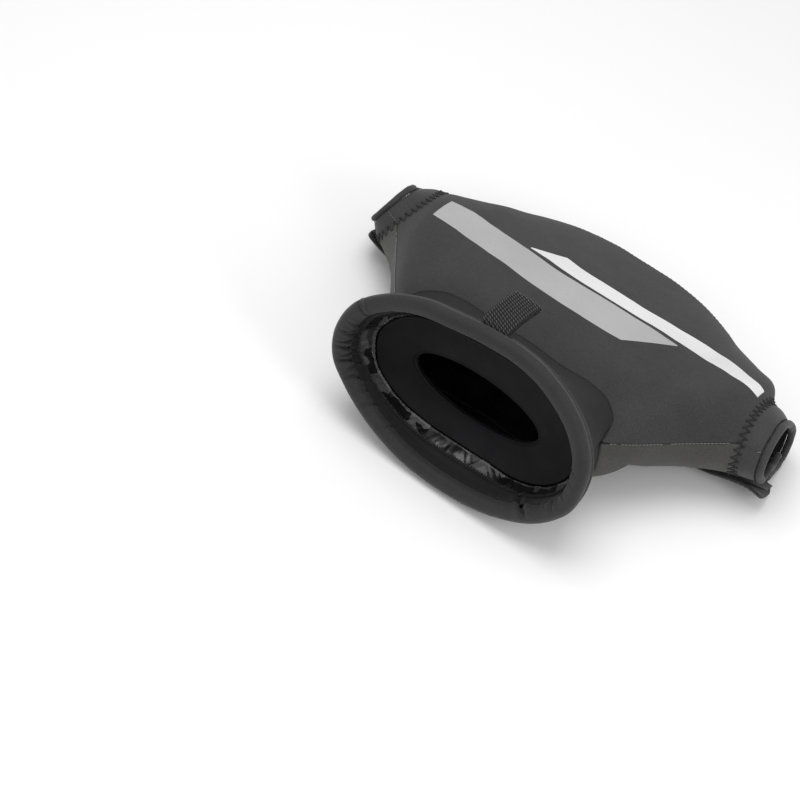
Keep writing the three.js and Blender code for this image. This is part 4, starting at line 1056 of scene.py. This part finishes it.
for name in "ab":
    run = SLEEVES[name]["length"] - 2 * LIPS[name] - 0.4
    lo, hi = CLOSURE_SEAM - 360 - TUCK_REACH, CLOSURE_SEAM - SLIT
    angs = np.concatenate([[lo, lo + 0.15, lo + 0.4, lo + 0.8], np.linspace(lo + 1.4, hi - 1.4, 230), [hi - 0.8, hi - 0.4, hi - 0.15, hi]])
    ds = np.concatenate([[-0.5, -0.38, -0.22, 0.0, 0.3, 0.7, 1.1, 1.6], np.linspace(2.2, run - 1.6, 14), [run - 1.1, run - 0.7, run - 0.4, run - 0.15, run + 0.1]])
    A5, D5 = np.meshgrid(angs, ds, indexing="ij")
    e = np.minimum(A5 - lo, hi - A5) * 0.5
    drop = edge_round(D5 + 0.5, 0.5) + edge_round(run + 0.1 - D5, 0.9) + edge_round(e, 0.8)
    base = sleeve_point(name, A5, hem_grow(name, A5, D5, run, 0), D5)
    pucker = 0.06 * np.exp(-((D5 - 3) / 3) ** 2) * np.sin(A5 / 360 * 2 * np.pi * 38)
    h = 0.3 * noise(base, 15, 61) * smooth((D5 - 1.5) / 4) + 0.1 * noise(base, 6, 62) * smooth(D5 / 2) + pucker
    outer = sleeve_point(name, A5, hem_grow(name, A5, D5, run, 0) + h - drop, D5)
    inner = sleeve_point(name, A5, hem_grow(name, A5, D5, run, HEM) + h + 0.5 * drop, D5)
    s = 1 if SLEEVES[name]["side"] > 0 else 1
    # the inner face of each hem takes the near-black knit, which is painted shade for the shadow inside the sleeve
    piece(closed(f"sleeve_hem_{name}", outer, inner, [BAND, TURNED_PAINTED_SHADE], sense=-1), "band", f"sleeve_band_{name}")
    # the lip: a roll of the hem, slightly flattened, round-ended, pinched by darts
    na, nc = 320, 22
    la_ = np.linspace(lo - 0.6, hi + 0.6, na)
    cc = np.arange(nc) * 2 * np.pi / nc
    A6, C6 = np.meshgrid(la_, cc, indexing="ij")
    endd = np.minimum(A6 - la_[0], la_[-1] - A6) * 0.55
    cap = np.sqrt(np.clip(1 - (1 - np.clip(endd / 2.5, 0, 1)) ** 2, 0.004, 1))
    dart = 0
    for c, w in ((118, 1.0), (122.5, 1.0), (221, 0.9), (225, 0.9), (243, 0.8), (-38, 0.9)) if name == "b" else ((96, 1.0), (201, 0.9), (206, 0.9), (-20, 1.0)):
        dart = dart + 0.55 * np.exp(-((A6 - c) / w) ** 2)
    c0 = sleeve_point(name, A6, -LIPS[name] + 0.3 - narrow(name, A6) - SLEEVES[name]["hide"] * 1.8 * lobe(A6, 134, 58) - tuck(A6) * (1 + 0.85 * smooth((-92 - A6) / 26)), run + 0.4 + LIPS[name])
    rad_ = (LIPS[name] + 0.15 * noise(c0, 9, 63) + 0.12 * noise(c0 + C6[..., None], 4, 64) - dart * smooth((np.sin(C6) + 0.6) / 1.2)) * cap * (1 - (0.32 * lobe(A6, 138, 62) if name == "a" else 0))
    lip = sleeve_point(name, A6, -LIPS[name] + 0.3 - narrow(name, A6) - SLEEVES[name]["hide"] * 1.8 * lobe(A6, 134, 58) - tuck(A6) * (1 + 0.85 * smooth((-92 - A6) / 26)) + rad_ * np.cos(C6) * 1.06, run + 0.4 + LIPS[name] + rad_ * np.sin(C6))
    F = np.concatenate([grid_faces(na, nc, 0, wrap_v=True, flip=True)])
    # close both ends with a point
    P = np.concatenate([lip.reshape(-1, 3), lip[0].mean(0)[None], lip[-1].mean(0)[None]])
    k = np.arange(nc)
    k1 = (k + 1) % nc
    t0 = np.stack([k1, k, np.full(nc, na * nc), np.full(nc, na * nc)], -1)
    t1 = np.stack([(na - 1) * nc + k, (na - 1) * nc + k1, np.full(nc, na * nc + 1), np.full(nc, na * nc + 1)], -1)
    me_faces = F
    uv = np.concatenate([np.stack([A6 * 0.5, C6 * LIPS[name]], -1).reshape(-1, 2), [[0, 0], [0, 0]]])
    o = add_mesh(f"sleeve_edge_{name}", P, me_faces, BAND, uv)
    piece(o, "band", f"sleeve_lip_{name}")
    caps = [tuple(x[:3]) for x in t0.tolist()] + [tuple(x[:3]) for x in t1.tolist()]
    bm = bmesh.new()
    bm.from_mesh(o.data)
    bm.verts.ensure_lookup_table()
    for tri in caps:
        bm.faces.new([bm.verts[i] for i in tri]).smooth = True
    bmesh.ops.recalc_face_normals(bm, faces=bm.faces[:])
    bm.to_mesh(o.data)
    bm.free()
    # stitched groove between hem and lip
    line = []
    for a0 in np.arange(lo + 2, hi - 2, 1.9):
        seg = np.linspace(a0, a0 + 1.35, 5)
        lift = 0.32 * np.sin(np.linspace(0, np.pi, 5)) - 0.12
        line.append(tube(sleeve_point(name, seg, hem_grow(name, seg, run, run, 0) + lift - 0.35, np.full(5, run + 0.32)), 0.2, 5))
    piece(bundle(f"lip_stitches_{name}", line, BLACK_THREAD), "band")


# ---------------------------------------------------------------- zigzag seams
def ring_guess(name, angle, dist):
    """A point near a sleeve's zigzag seam: dist millimetres from it, on the body where negative and on the hem where positive."""
    angle = arr(angle)
    a = (angle - WRIST_SEAM) % 360 + WRIST_SEAM
    side = SLEEVES[name]["side"]
    out = np.zeros(a.shape + (3,))
    away = np.zeros(a.shape + (3,))
    dist = np.broadcast_to(arr(dist), a.shape)
    for surf, lo, hi in (("top", WRIST_SEAM, KNUCKLE_SEAM), ("gusset", KNUCKLE_SEAM, GUSSET_SEAM), ("under", GUSSET_SEAM, WRIST_SEAM + 360)):
        m = (a >= lo) & (a <= hi)
        if not m.any():
            continue
        t = (a[m] - lo) / (hi - lo)
        t = np.clip(1 - t if surf == "under" else t, 0.004, 0.996)
        f = SURF[surf][0]
        s1 = np.full(t.shape, RING_ROW * side)
        pace = np.linalg.norm(f(s1 - 2 * side, t) - f(s1, t), axis=-1) / 2
        s = side * (RING_ROW - np.maximum(0, -dist[m]) / np.maximum(pace, 0.2))
        P = f(s, t)
        n = normal(surf, np.where(np.abs(s) > 136.9, side * 136.9, s), t)
        out[m] = P
        away[m] = n
    run = SLEEVES[name]["length"] - 2 * LIPS[name] - 0.4
    d = np.maximum(dist, 0) + 0.2
    hem = sleeve_point(name, angle, hem_grow(name, angle, d, run, 0), d)
    hem_away = unit(sleeve_point(name, angle, hem_grow(name, angle, d, run, -1), d) - hem)
    k = smooth((dist + 0.5) / 1.0)[..., None]
    return out * (1 - k) + hem * k, unit(away * (1 - k) + hem_away * k)


def tree_of(objects):
    from mathutils.bvhtree import BVHTree
    P, F, base = [], [], 0
    for o in objects:
        P += [tuple(v.co) for v in o.data.vertices]
        F += [tuple(base + i for i in f.vertices) for f in o.data.polygons]
        base = len(P)
    return BVHTree.FromPolygons(P, F)


def laid(tree, P, N, off):
    """Points moved along their normals to `off` millimetres above the finished face under them."""
    out = P.copy()
    start = frame_m(P + 3.5 * N)
    for i in range(len(P)):
        hit = tree.ray_cast(tuple(start[i]), tuple(-N[i]), 0.006)[0]
        out[i] = (np.array(hit) * 1000 - SHIFT if hit is not None else P[i]) + N[i] * off[i]
    return out


def ring_surface(name, angle, dist, off):
    P, N = ring_guess(name, arr(angle), dist)
    P = P.reshape(-1, 3)
    return laid(TREES[name], P, N.reshape(-1, 3), np.broadcast_to(arr(off), arr(angle).shape).ravel())




def zigzag(name, lo, hi, place, period, half_width, radius, material, slot, seed, pits=0.0, centre=0.0):
    """Zigzag stitches of an even period, in millimetres, along a seam; pits are the dark puckered needle holes at the turns."""
    r = np.random.RandomState(seed)
    a = np.linspace(lo, hi, 3000)
    shift = lambda a0: centre(a0) if callable(centre) else centre
    P = place(a, np.array([shift(x) for x in a]), np.zeros(3000))
    run = np.concatenate([[0], np.cumsum(np.linalg.norm(np.diff(P, axis=0), axis=-1))])
    n = int(run[-1] / period)
    tubes = []
    knots = []
    for i in range(2 * n + 1):
        at = (i + 0.14 * (r.rand() - 0.5)) * period / 2
        knots.append((np.interp(at, run, a), shift(np.interp(at, run, a)) + (1 if i % 2 else -1) * half_width * (1 + 0.1 * (r.rand() - 0.5))))
    for (a0, w0), (a1, w1) in zip(knots[:-1], knots[1:]):
        k = np.linspace(0, 1, 10)
        tubes.append(tube(place(lerp(a0, a1, k), lerp(w0, w1, k), radius * (0.6 - 2.2 * (2 * k - 1) ** 12)), radius * (1 + 0.12 * np.sin(np.pi * k)), 6))
    if pits:
        for a0, w0 in knots:
            k = np.linspace(-1, 1, 5)
            c = place(np.full(5, a0), w0 + 0.75 * pits * k, np.full(5, -0.05 * pits))
            tubes.append(tube(c, pits * np.sqrt(np.maximum(0.05, 1 - k**2)) * (0.8 + 0.3 * r.rand()), 6))
    return piece(bundle(name, tubes, material), slot)


BODY_NAMES = ["back_panel", "palm_panel_knuckle", "palm_panel_wrist", "gusset_sheet_a", "gusset_sheet_b"]
TREES = {name: tree_of([bpy.data.objects[x] for x in BODY_NAMES + [f"sleeve_hem_{name}"]]) for name in "ab"}
for name in "ab":
    lo, hi = CLOSURE_SEAM - 360 + 9, CLOSURE_SEAM - 8
    zigzag(f"zigzag_{name}", lo, hi, lambda a, w, l, q=name: ring_surface(q, a, w, l), 5.3, 2.75 if name == "b" else 2.5, 0.42, SEWING_THREAD, "band", 70 + ord(name), pits=1.0, centre=(lambda x: -0.9 - 1.5 * lobe(x, 62, 60)) if name == "b" else -1.1)
# ---------------------------------------------------------------- overlocked edge of the turned-in cloth
def turned_height(angle, k):
    a = arc_of(angle)
    h = -0.75 * gathers(a, 6 * (1 + k * 0.9)) * (1 - 0.55 * k) * 0.85
    return h + 0.9 * np.exp(-((k - 0.95) / 0.08) ** 2) + 0.15


def hem_place(a, w, lift):
    v = hem_v(a) * 0.93 + w / 15.0
    P, _ = lining_at(a, v, turned_height(a, 0.93) + lift + 0.25)
    return P


zigzag("overlock_hem", 0.5, 359.5, hem_place, 1.7, 1.2, 0.3, BLACK_THREAD, "lining", 91)
line = []
for a0 in np.arange(0, 360, 0.9):
    seg = np.linspace(a0, a0 + 0.6, 4)
    k = np.full(4, 0.80)
    P, _ = lining_at(seg, hem_v(seg) * 0.80, turned_height(seg, 0.80) + 0.12 + 0.2 * np.sin(np.linspace(0, np.pi, 4)))
    if rng.rand() < 0.55:
        line.append(tube(P, 0.16, 5))
piece(bundle("hem_stitches", line, DARK_THREAD), "lining")
line = []
for a0 in np.arange(0, 360, 1.35):
    seg = np.linspace(a0, a0 + 0.8, 4)
    P = gasket_front(seg, np.full(4, 0.045), 0.22 * np.sin(np.linspace(0, np.pi, 4)) - 0.1)
    line.append(tube(P, 0.17, 5))
piece(bundle("gasket_stitches", line, DARK_THREAD), "gasket")

# ---------------------------------------------------------------- closure under the shaft
RUNS = [("a", d) for d in np.linspace(SLEEVES["a"]["length"] + SLEEVES["a"]["reach"], 1.5, 12)] + \
       [("body", s) for s in np.linspace(-134.4, 134.4, 220)] + \
       [("b", d) for d in np.linspace(1.5, SLEEVES["b"]["length"] + SLEEVES["b"]["reach"], 30)]
_bs = arr([d for n, d in RUNS if n == "body"])


def closure_grid(W, off):
    """Points at w millimetres across the closure line (rows of W, one per run) and off below the palm."""
    out = np.zeros(W.shape + (3,))
    k = arr([n == "body" for n, _ in RUNS])
    body = np.nonzero(k)[0]
    t0 = split_at(_bs)
    pace = np.linalg.norm(under(_bs, t0 + 1e-3) - under(_bs, t0 - 1e-3), axis=-1) / 2e-3
    S = _bs[:, None] * np.ones((1, W.shape[1]))
    T = t0[:, None] - W[body] / pace[:, None]
    out[body] = under(S, T) + normal("under", S, T) * off[body][..., None]
    for name in "ab":
        idx = [i for i, (n, _) in enumerate(RUNS) if n == name]
        d = arr([RUNS[i][1] for i in idx])[:, None] * np.ones((1, W.shape[1]))
        pc = np.linalg.norm(sleeve_point(name, CLOSURE_SEAM + 1, 0, 0) - sleeve_point(name, CLOSURE_SEAM - 1, 0, 0)) / 2
        ang = CLOSURE_SEAM + W[idx] / pc
        P = sleeve_point(name, ang, 0, d)
        D = sleeve_point(name, ang + 1, 0, d) - sleeve_point(name, ang - 1, 0, d)
        f = FR[name]
        n = unit(np.cross(np.broadcast_to(f["out"], D.shape), D))
        c = f["centre"] + f["out"] * d[..., None]
        n = n * np.sign(dot(n, P - c))
        out[idx] = P + n * (off[idx] + 0.5)[..., None]
    z = out[..., 2]
    out[..., 2] = np.where(z < REST + 0.6, REST + 0.6 - 0.6 * (1 - np.exp(-(REST + 0.6 - z) / 0.6)), z)
    return out


def ease(P, times=6):
    for _ in range(times):
        P = np.concatenate([P[:1], (P[:-2] + 2 * P[1:-1] + P[2:]) / 4, P[-1:]])
    return P


NR = len(RUNS)
path = ease(closure_grid(np.zeros((NR, 1)), np.full((NR, 1), 3.0)))[:, 0]
along = np.concatenate([[0], np.cumsum(np.linalg.norm(np.diff(path, axis=0), axis=-1))])
tip = np.minimum(along, along[-1] - along)


HANG = arr([3.4 * np.clip((d - 6) / 14, 0, 1) ** 2 if n == "b" else 0 for n, d in RUNS])


def strip(name, w0, w1, nw, off, thick, r, mats, slot, node, drop=None, tip_r=6.0, seed=81, hang=0.0):
    q = np.concatenate([[0, .01, .03, .06], np.linspace(.1, .9, nw), [.94, .97, .99, 1]])
    mid, hw = (w0 + w1) / 2, (w1 - w0) / 2
    shrink = hw - tip_r + np.sqrt(np.maximum(tip_r**2 - np.clip(tip_r - tip, 0, tip_r) ** 2, 0))
    W = mid + (2 * q[None] - 1) * shrink[:, None]
    e = np.minimum(np.minimum(q, 1 - q)[None] * 2 * hw, (tip[:, None] + 0.02))
    rd = edge_round(e, r)
    sag = (drop(W) if drop else 0) - hang * HANG[:, None]
    base = closure_grid(W, np.full(W.shape, off))
    wob = 0.22 * noise(base, 14, seed) + 0.1 * noise(base, 6, seed + 1)
    outer = ease(closure_grid(W, off + thick - rd - sag + wob), 3)
    inner = ease(closure_grid(W, off + rd * 0.8 - sag + wob), 3)
    return piece(closed(name, outer, inner, mats), slot, node), W


strip("hook_tape", -9, 11, 14, 0.5, 1.2, 0.4, HOOK, "hook", "closure_tape", tip_r=1.5)
strip("flap", -15, 13, 22, 2.2, 2.2, 1.0, [PANEL, HOOK], "panel", "closure_flap", drop=lambda W: 1.7 * smooth((-10.5 - W) / 2.5), seed=83, hang=1.0)

hairs = []
for i in range(2400):
    k = rng.randint(0, NR)
    if rng.rand() < 0.62:
        k = rng.choice(np.concatenate([np.arange(0, 26), np.arange(NR - 48, NR)]))
    w = rng.uniform(-9.5, 11.5) if rng.rand() < 0.4 else rng.choice([rng.uniform(-10.2, -7), rng.uniform(8.5, 11.8)])
    W = np.zeros((NR, 1)) + w
    hairs.append((k, w, rng.rand(6)))
ks = np.array([h[0] for h in hairs])
ws = np.array([h[1] for h in hairs])
order = np.argsort(ws)
Wc = np.linspace(-12, 13, 60)
table0 = ease(closure_grid(np.tile(Wc, (NR, 1)), np.full((NR, 60), 0.9)))
table1 = ease(closure_grid(np.tile(Wc, (NR, 1)), np.full((NR, 60), 2.5)))
tubes = []
for k, w, q in hairs:
    x = (w + 12) / 25 * 59
    j = int(np.clip(x, 0, 58))
    p0 = lerp(table0[k, j], table0[k, j + 1], x - j)
    p1 = lerp(table1[k, j], table1[k, j + 1], x - j)
    up_ = unit(p1 - p0)
    lean = arr([q[0] - 0.5, q[1] - 0.5, q[2] - 0.5]) * 1.6
    size = (0.7 + 1.1 * q[3]) * (0.4 if min(k, NR - 1 - k) < 14 else 1.0)
    m = p0 + (up_ + 0.6 * lean) * size * 0.6
    e = m + (0.3 * up_ + lean) * size * 0.7
    e2 = e + (lean - 0.9 * up_) * size * 0.35
    tubes.append(tube([p0, m, e, e2], 0.07 + 0.03 * q[4], 3, cap=False))
piece(bundle("loop_pile", tubes, HOOK), "hook")

# straight stitching along both edges of the flap
line = []
for w in (-7.5, 10.6):
    P = ease(closure_grid(np.full((NR, 1), w), 2.2 + 2.2 + 0.05 + HANG[:, None]))[:, 0]
    L = np.concatenate([[0], np.cumsum(np.linalg.norm(np.diff(P, axis=0), axis=-1))])
    for s0 in np.arange(7, L[-1] - 8, 3.3):
        s = np.linspace(s0, s0 + 2.4, 6)
        c = np.stack([np.interp(s, L, P[:, i]) for i in range(3)], -1)
        c[:, 2] -= 0.14 * np.sin(np.linspace(0, np.pi, 6))
        line.append(tube(c, 0.2, 5))
piece(bundle("flap_stitches", line, DARK_THREAD), "panel")

# ---------------------------------------------------------------- printed stripes
def film(name, table, corner, mat, slot, node):
    ks = np.arange(len(table))
    at = spline(ks, table, (corner,), 4)
    u = np.unique(np.concatenate([np.linspace(0, len(table) - 1, 210), [corner - 0.01, corner, corner + 0.01]]))
    k = np.concatenate([[0, .006, .015, .03], np.linspace(.06, .94, 20), [.97, .985, .994, 1]])
    row = at(u)
    S = row[:, None, 0] * (1 - k) + row[:, None, 2] * k
    T = row[:, None, 1] * (1 - k) + row[:, None, 3] * k
    G = skin("top", S, T, 0.0)
    uv = run_of(G)
    e = np.minimum(np.minimum(uv[..., 1], uv[:, -1:, 1] - uv[..., 1]), np.minimum(uv[..., 0], uv[-1:, :, 0] - uv[..., 0]))
    up_ = 0.24 - edge_round(e, 0.14)
    return piece(closed(name, skin("top", S, T, up_), skin("top", S, T, 0.04), mat), slot, node)


film("print_wide", STRIPE_WIDE, 14, SILVER, "silver_print", "stripe_wide")
film("print_narrow", STRIPE_NARROW, 3, WHITE, "white_print", "stripe_narrow")

# ---------------------------------------------------------------- pull tab
_p = arr([[0, 0], [9, 0.8], [20, 0.3], [29.5, -1.2], [33.6, -2.3], [34.6, -4.0], [33.2, -5.2], [28, -4.3], [20, -2.8], [9, -2.0], [0, -2.2]])
_k = np.concatenate([[0], np.cumsum(np.linalg.norm(np.diff(_p, axis=0), axis=-1))])
_sp = spline(_k, _p)
tab0 = rim_point(90.0, 3, ROLL_RADIUS + 0.9) + arr([0, 0, 3.4])
NTU, NTW = 260, 82
u = np.linspace(0, _k[-1], NTU)
c2 = _sp(u)
for _ in range(10):
    c2[1:-1] = (c2[:-2] + 2 * c2[1:-1] + c2[2:]) / 4
tan = unit(np.gradient(c2, axis=0))
nor = np.stack([-tan[:, 1], tan[:, 0]], -1)
w = np.linspace(-9.5, 9.5, NTW)
Ug, Wg = np.meshgrid(u, w, indexing="ij")


def weave(U, W):
    """Relief of the open weave in millimetres, and how deep in a hole each place is."""
    wide, long_ = 19 / 8, 2.1
    col = np.clip(np.floor((W + 9.5) / wide), 0, 7)
    x = (W + 9.5) / wide - col - 0.5
    y = U / long_ + 0.5 * (col % 2) + 0.75 * x
    y = y - np.round(y)
    grain = ((x * wide) / 1.05) ** 2 + ((y * long_) / 0.62) ** 2
    hole = smooth((grain - 0.75) / 0.7)
    return 0.35 * np.exp(-grain) - 0.75 * hole, hole


# stores how deep in a hole each vertex is, which the webbing material turns into painted shade
def paint_hole_shade(o, value):
    a = o.data.attributes.new("hole", "FLOAT", "POINT")
    v = np.zeros(len(o.data.vertices), np.float32)
    v[:value.size] = value.ravel()
    if len(v) == 2 * value.size:
        v[value.size:] = value.ravel()
    a.data.foreach_set("value", v)
    return o


relief, hole = weave(Ug, Wg)
edge = edge_round((9.5 - np.abs(Wg)), 0.65)
sway = 0.35 * np.sin(Ug / 9.0) * (Wg / 9.5) ** 2


def tab_points(k):
    y = c2[:, None, 0] + nor[:, None, 0] * k
    z = c2[:, None, 1] + nor[:, None, 1] * k
    return np.stack([Wg + 0.12 * np.sin(Ug / 0.9) * (np.abs(Wg) > 9.2) * np.sign(Wg), tab0[1] + y, tab0[2] + z + sway * 0.5], -1)


paint_hole_shade(piece(closed("webbing_pull", tab_points(1.3 + relief - edge), tab_points(-0.5 * relief + edge * 0.8), WEB, sense=1), "webbing", "pull_tab"), hole)
ro = spline([0, 1, 2, 3], [(-0.08, 1.25), (-0.95, 0.9), (-1.8, -0.25), (-2.4, -1.7)])(np.linspace(0, 3, 34))
ri = spline([0, 1, 2, 3], [(-0.08, -3.0), (-0.6, -3.0), (-1.4, -2.9), (-2.2, -2.4)])(np.linspace(0, 3, 34))
Ur, Wr = np.meshgrid(-np.linspace(0, 4.0, 34), w, indexing="ij")
relief_r, hole_r = weave(Ur, Wr)
nr = unit(np.stack([np.gradient(ro[:, 1]), -np.gradient(ro[:, 0])], -1)) * -1
k = (0.6 * relief_r - edge_round(9.5 - np.abs(Wr), 0.6))[..., None]
po = np.stack([Wr, tab0[1] + ro[:, None, 0] + nr[:, None, 0] * k[..., 0] * np.sign(nr[:, None, 1] + 1e-9), tab0[2] + ro[:, None, 1] + np.abs(nr[:, None, 1]) * k[..., 0]], -1)
pi_ = np.stack([Wr, tab0[1] + ri[:, None, 0] * np.ones_like(Wr), tab0[2] + ri[:, None, 1] * np.ones_like(Wr)], -1)
paint_hole_shade(piece(closed("tab_root", po, pi_, WEB), "webbing"), hole_r)
line = []
for side in (-1, 1):
    for i in range(21):
        y0 = 0.6 + i * 1.55
        t = np.linspace(0, 2 * np.pi, 9)
        y = y0 + 0.62 * np.cos(t) + t * 0.1
        z = -1.0 + np.interp(y0, [0, 9, 20, 29, 34], [0.2, 0.8, 0.2, -1.4, -2.9]) + 1.25 * np.sin(t)
        line.append(tube(np.stack([side * (9.75 + 0.2 * np.cos(t)), tab0[1] + y, tab0[2] + z], -1), 0.42, 5))
piece(bundle("tab_edge_loops", line, BLACK_THREAD), "webbing")

# ---------------------------------------------------------------- seam threads
def dashes(name, place, s0, s1, length_, gap_, radius, mat, slot, keep=1.0, seed=1, cross=None):
    """Short stitches along place(s), s in millimetre-like row units; cross makes each one step over the seam."""
    r = np.random.RandomState(seed)
    s = np.linspace(s0, s1, 900)
    P = place(s)
    L = np.concatenate([[0], np.cumsum(np.linalg.norm(np.diff(P, axis=0), axis=-1))])
    tubes = []
    q = 1.0
    while q < L[-1] - length_ - 1:
        if r.rand() < keep:
            k = np.linspace(q, q + length_, 6)
            c = np.stack([np.interp(k, L, P[:, i]) for i in range(3)], -1)
            if cross is not None:
                n, side = cross(np.interp(k, L, s))
                off = np.linspace(-1, 1, 6)[:, None]
                c = c + side * off * 0.75 + n * (0.1 + 0.22 * np.cos(off * np.pi / 2))
            tubes.append(tube(c, radius, 5))
        q += length_ + gap_ * (0.8 + 0.4 * r.rand())
    return piece(bundle(name, tubes, mat), slot)


def on_seam(surface, v, seam, off):
    return lambda s: SURF[surface][0](s, np.full(np.shape(s), v)) + seam(s) * (ripple(SURF[surface][0](s, np.full(np.shape(s), v))) + off)[..., None]


def over(surface, v, seam):
    def at(s):
        f = SURF[surface][0]
        n = unit(seam(s))
        d = unit(f(s + 0.3, np.full(np.shape(s), v)) - f(s - 0.3, np.full(np.shape(s), v)))
        return n, unit(np.cross(n, d))
    return at


dashes("wrist_seam_b", on_seam("top", 0.0, seam_wrist, 0.02), 97, 134, 1.9, 0.6, 0.25, PALE_THREAD, "panel", 0.85, 3)
dashes("wrist_seam_a", on_seam("top", 0.0, seam_wrist, 0.22), -97, -134, 2.1, 0.4, 0.3, PALE_THREAD, "panel", 0.9, 4)
dashes("neck_seam_back", on_seam("top", 0.0, seam_neck_top, -0.55), -90, 90, 1.2, 2.2, 0.16, DARK_THREAD, "collar", 0.9, 5, over("top", 0.0, seam_neck_top))
dashes("neck_seam_palm", on_seam("under", 0.0, seam_neck_under, -0.55), -90, 90, 1.2, 2.2, 0.16, DARK_THREAD, "collar", 0.9, 6, over("under", 0.0, seam_neck_under))
dashes("knuckle_seam", on_seam("top", 1.0, seam_knuckle, -0.5), -134, 134, 1.2, 2.2, 0.16, DARK_THREAD, "panel", 0.92, 7, over("top", 1.0, seam_knuckle))
dashes("gusset_seam", on_seam("gusset", 1.0, seam_gusset, -0.5), -134, 134, 1.2, 2.2, 0.16, DARK_THREAD, "panel", 0.92, 8, over("gusset", 1.0, seam_gusset))

# zigzag that holds the band on the collar
def band_place(q, w, lift):
    q = arr(q)
    first = q < 1
    s = np.where(first, lerp(-COLLAR_ROWS[-1], COLLAR_ROWS[-1], q), lerp(COLLAR_ROWS[-1], -COLLAR_ROWS[-1], q - 1))
    out = np.zeros(q.shape + (3,))
    for m, f, name, v_at in ((first, collar_top, "collar_top", _top_v), (~first, collar_under, "collar_under", _und_v)):
        if m.any():
            v0 = v_at(s[m])
            pace = np.linalg.norm(f(s[m], v0 + 0.01) - f(s[m], v0 - 0.01), axis=-1) / 0.02
            v = v0 + w[m] / pace
            P = f(s[m], v)
            out[m] = P + normal(name, s[m], v) * (ripple(P) + lift[m])[..., None]
    return out


zigzag("zigzag_rim", 0.004, 1.996, band_place, 5.0, 2.2, 0.3, BLACK_THREAD, "band", 95, pits=0.55)

# the seam that each hem carries on from the wrist-side seam
for name in "ab":
    run = SLEEVES[name]["length"] - 2 * LIPS[name] - 0.4
    line = []
    for d0 in np.arange(1.6, run - 1.4, 2.1):
        d = np.linspace(d0, d0 + 1.5, 5)
        a = np.full(5, WRIST_SEAM + 0.2) - 0.25 * d
        line.append(tube(sleeve_point(name, a, hem_grow(name, a, d, run, 0) + 0.16 + 0.1 * np.sin(np.linspace(0, np.pi, 5)), d), 0.16, 5))
    piece(bundle(f"hem_seam_{name}", line, PALE_THREAD if name == "a" else DARK_THREAD), "band")

line = []
for a0 in np.concatenate([np.arange(166, 236, 0.95), np.arange(248, 345, 2.3)]):
    seg = a0 + np.linspace(0, 0.42, 4)
    P, _ = lining_at(seg, hem_v(seg) * 0.985, turned_height(seg, 0.985) + 0.42 + 0.25 * np.sin(np.linspace(0, np.pi, 4)))
    line.append(tube(P, 0.17, 5))
piece(bundle("hem_specks", line, SPECK_THREAD), "lining")

# one loose thread end by the lip of sleeve b
A = arr([17.0, 16.6, 16.0, 15.4, 15.2])
Dd = arr([12.9, 12.2, 11.4, 10.8, 10.4])
g = hem_grow("b", A, Dd, 13.1, 0) + arr([-0.3, 0.35, 0.75, 0.8, 0.45])
piece(bundle("loose_thread", [tube(sleeve_point("b", A, g, Dd), 0.17, 5)], PALE_THREAD), "band")

# ---------------------------------------------------------------- floor, light, camera
bm = bmesh.new()
bmesh.ops.create_grid(bm, x_segments=8, y_segments=8, size=4.0)
me = bpy.data.meshes.new("floor")
bm.to_mesh(me)
bm.free()
floor = bpy.data.objects.new("floor", me)
floor.location.z = -0.0006
bpy.context.scene.collection.objects.link(floor)
n = Nodes("pale_floor")
floor.data.materials.append(n.finish(Base_Color=n.ramp(n.noise(3, 2, 0.5), (0.2, (0.9, 0.9, 0.9)), (0.8, (0.92, 0.92, 0.92))), Roughness=0.7, Specular_IOR_Level=0.2))
floor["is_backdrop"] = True

world = bpy.data.worlds.new("studio")
world.use_nodes = True
world.node_tree.nodes["Background"].inputs["Color"].default_value = (1, 1, 1, 1)
world.node_tree.nodes["Background"].inputs["Strength"].default_value = 0.6
bpy.context.scene.world = world


def area(name, at, aim, size, power):
    d = bpy.data.lights.new(name, "AREA")
    d.shape = "RECTANGLE"
    d.size, d.size_y = size
    d.energy = power
    o = bpy.data.objects.new(name, d)
    o.location = at
    o.rotation_euler = (Vector(aim) - Vector(at)).to_track_quat("-Z", "Y").to_euler()
    bpy.context.scene.collection.objects.link(o)
    return o


area("overhead", (-0.2, -0.05, 1.2), (0, 0, 0.04), (0.9, 0.8), 7.4)
area("front", (-0.1, -1.15, 0.6), (0, -0.02, 0.05), (0.6, 0.6), 1.6)
area("right", (0.95, -0.3, 0.6), (0, 0, 0.05), (0.4, 0.6), 3.3)

cam = bpy.data.cameras.new("camera")
cam.lens, cam.sensor_width = 108.0, 36.0
cam.clip_start, cam.clip_end = 0.05, 20.0
camera = bpy.data.objects.new("camera", cam)
camera.matrix_world = Matrix(((0.7851461694, -0.5345505563, 0.3127318267, 0.4184828236), (0.5935312574, 0.5053045614, -0.6264087698, -1.0268195870),
                              (0.1768223378, 0.6774385603, 0.7140104044, 1.0839207897), (0, 0, 0, 1)))
bpy.context.scene.collection.objects.link(camera)
bpy.context.scene.camera = camera
bpy.context.scene.view_settings.view_transform = "Standard"

lo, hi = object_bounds()
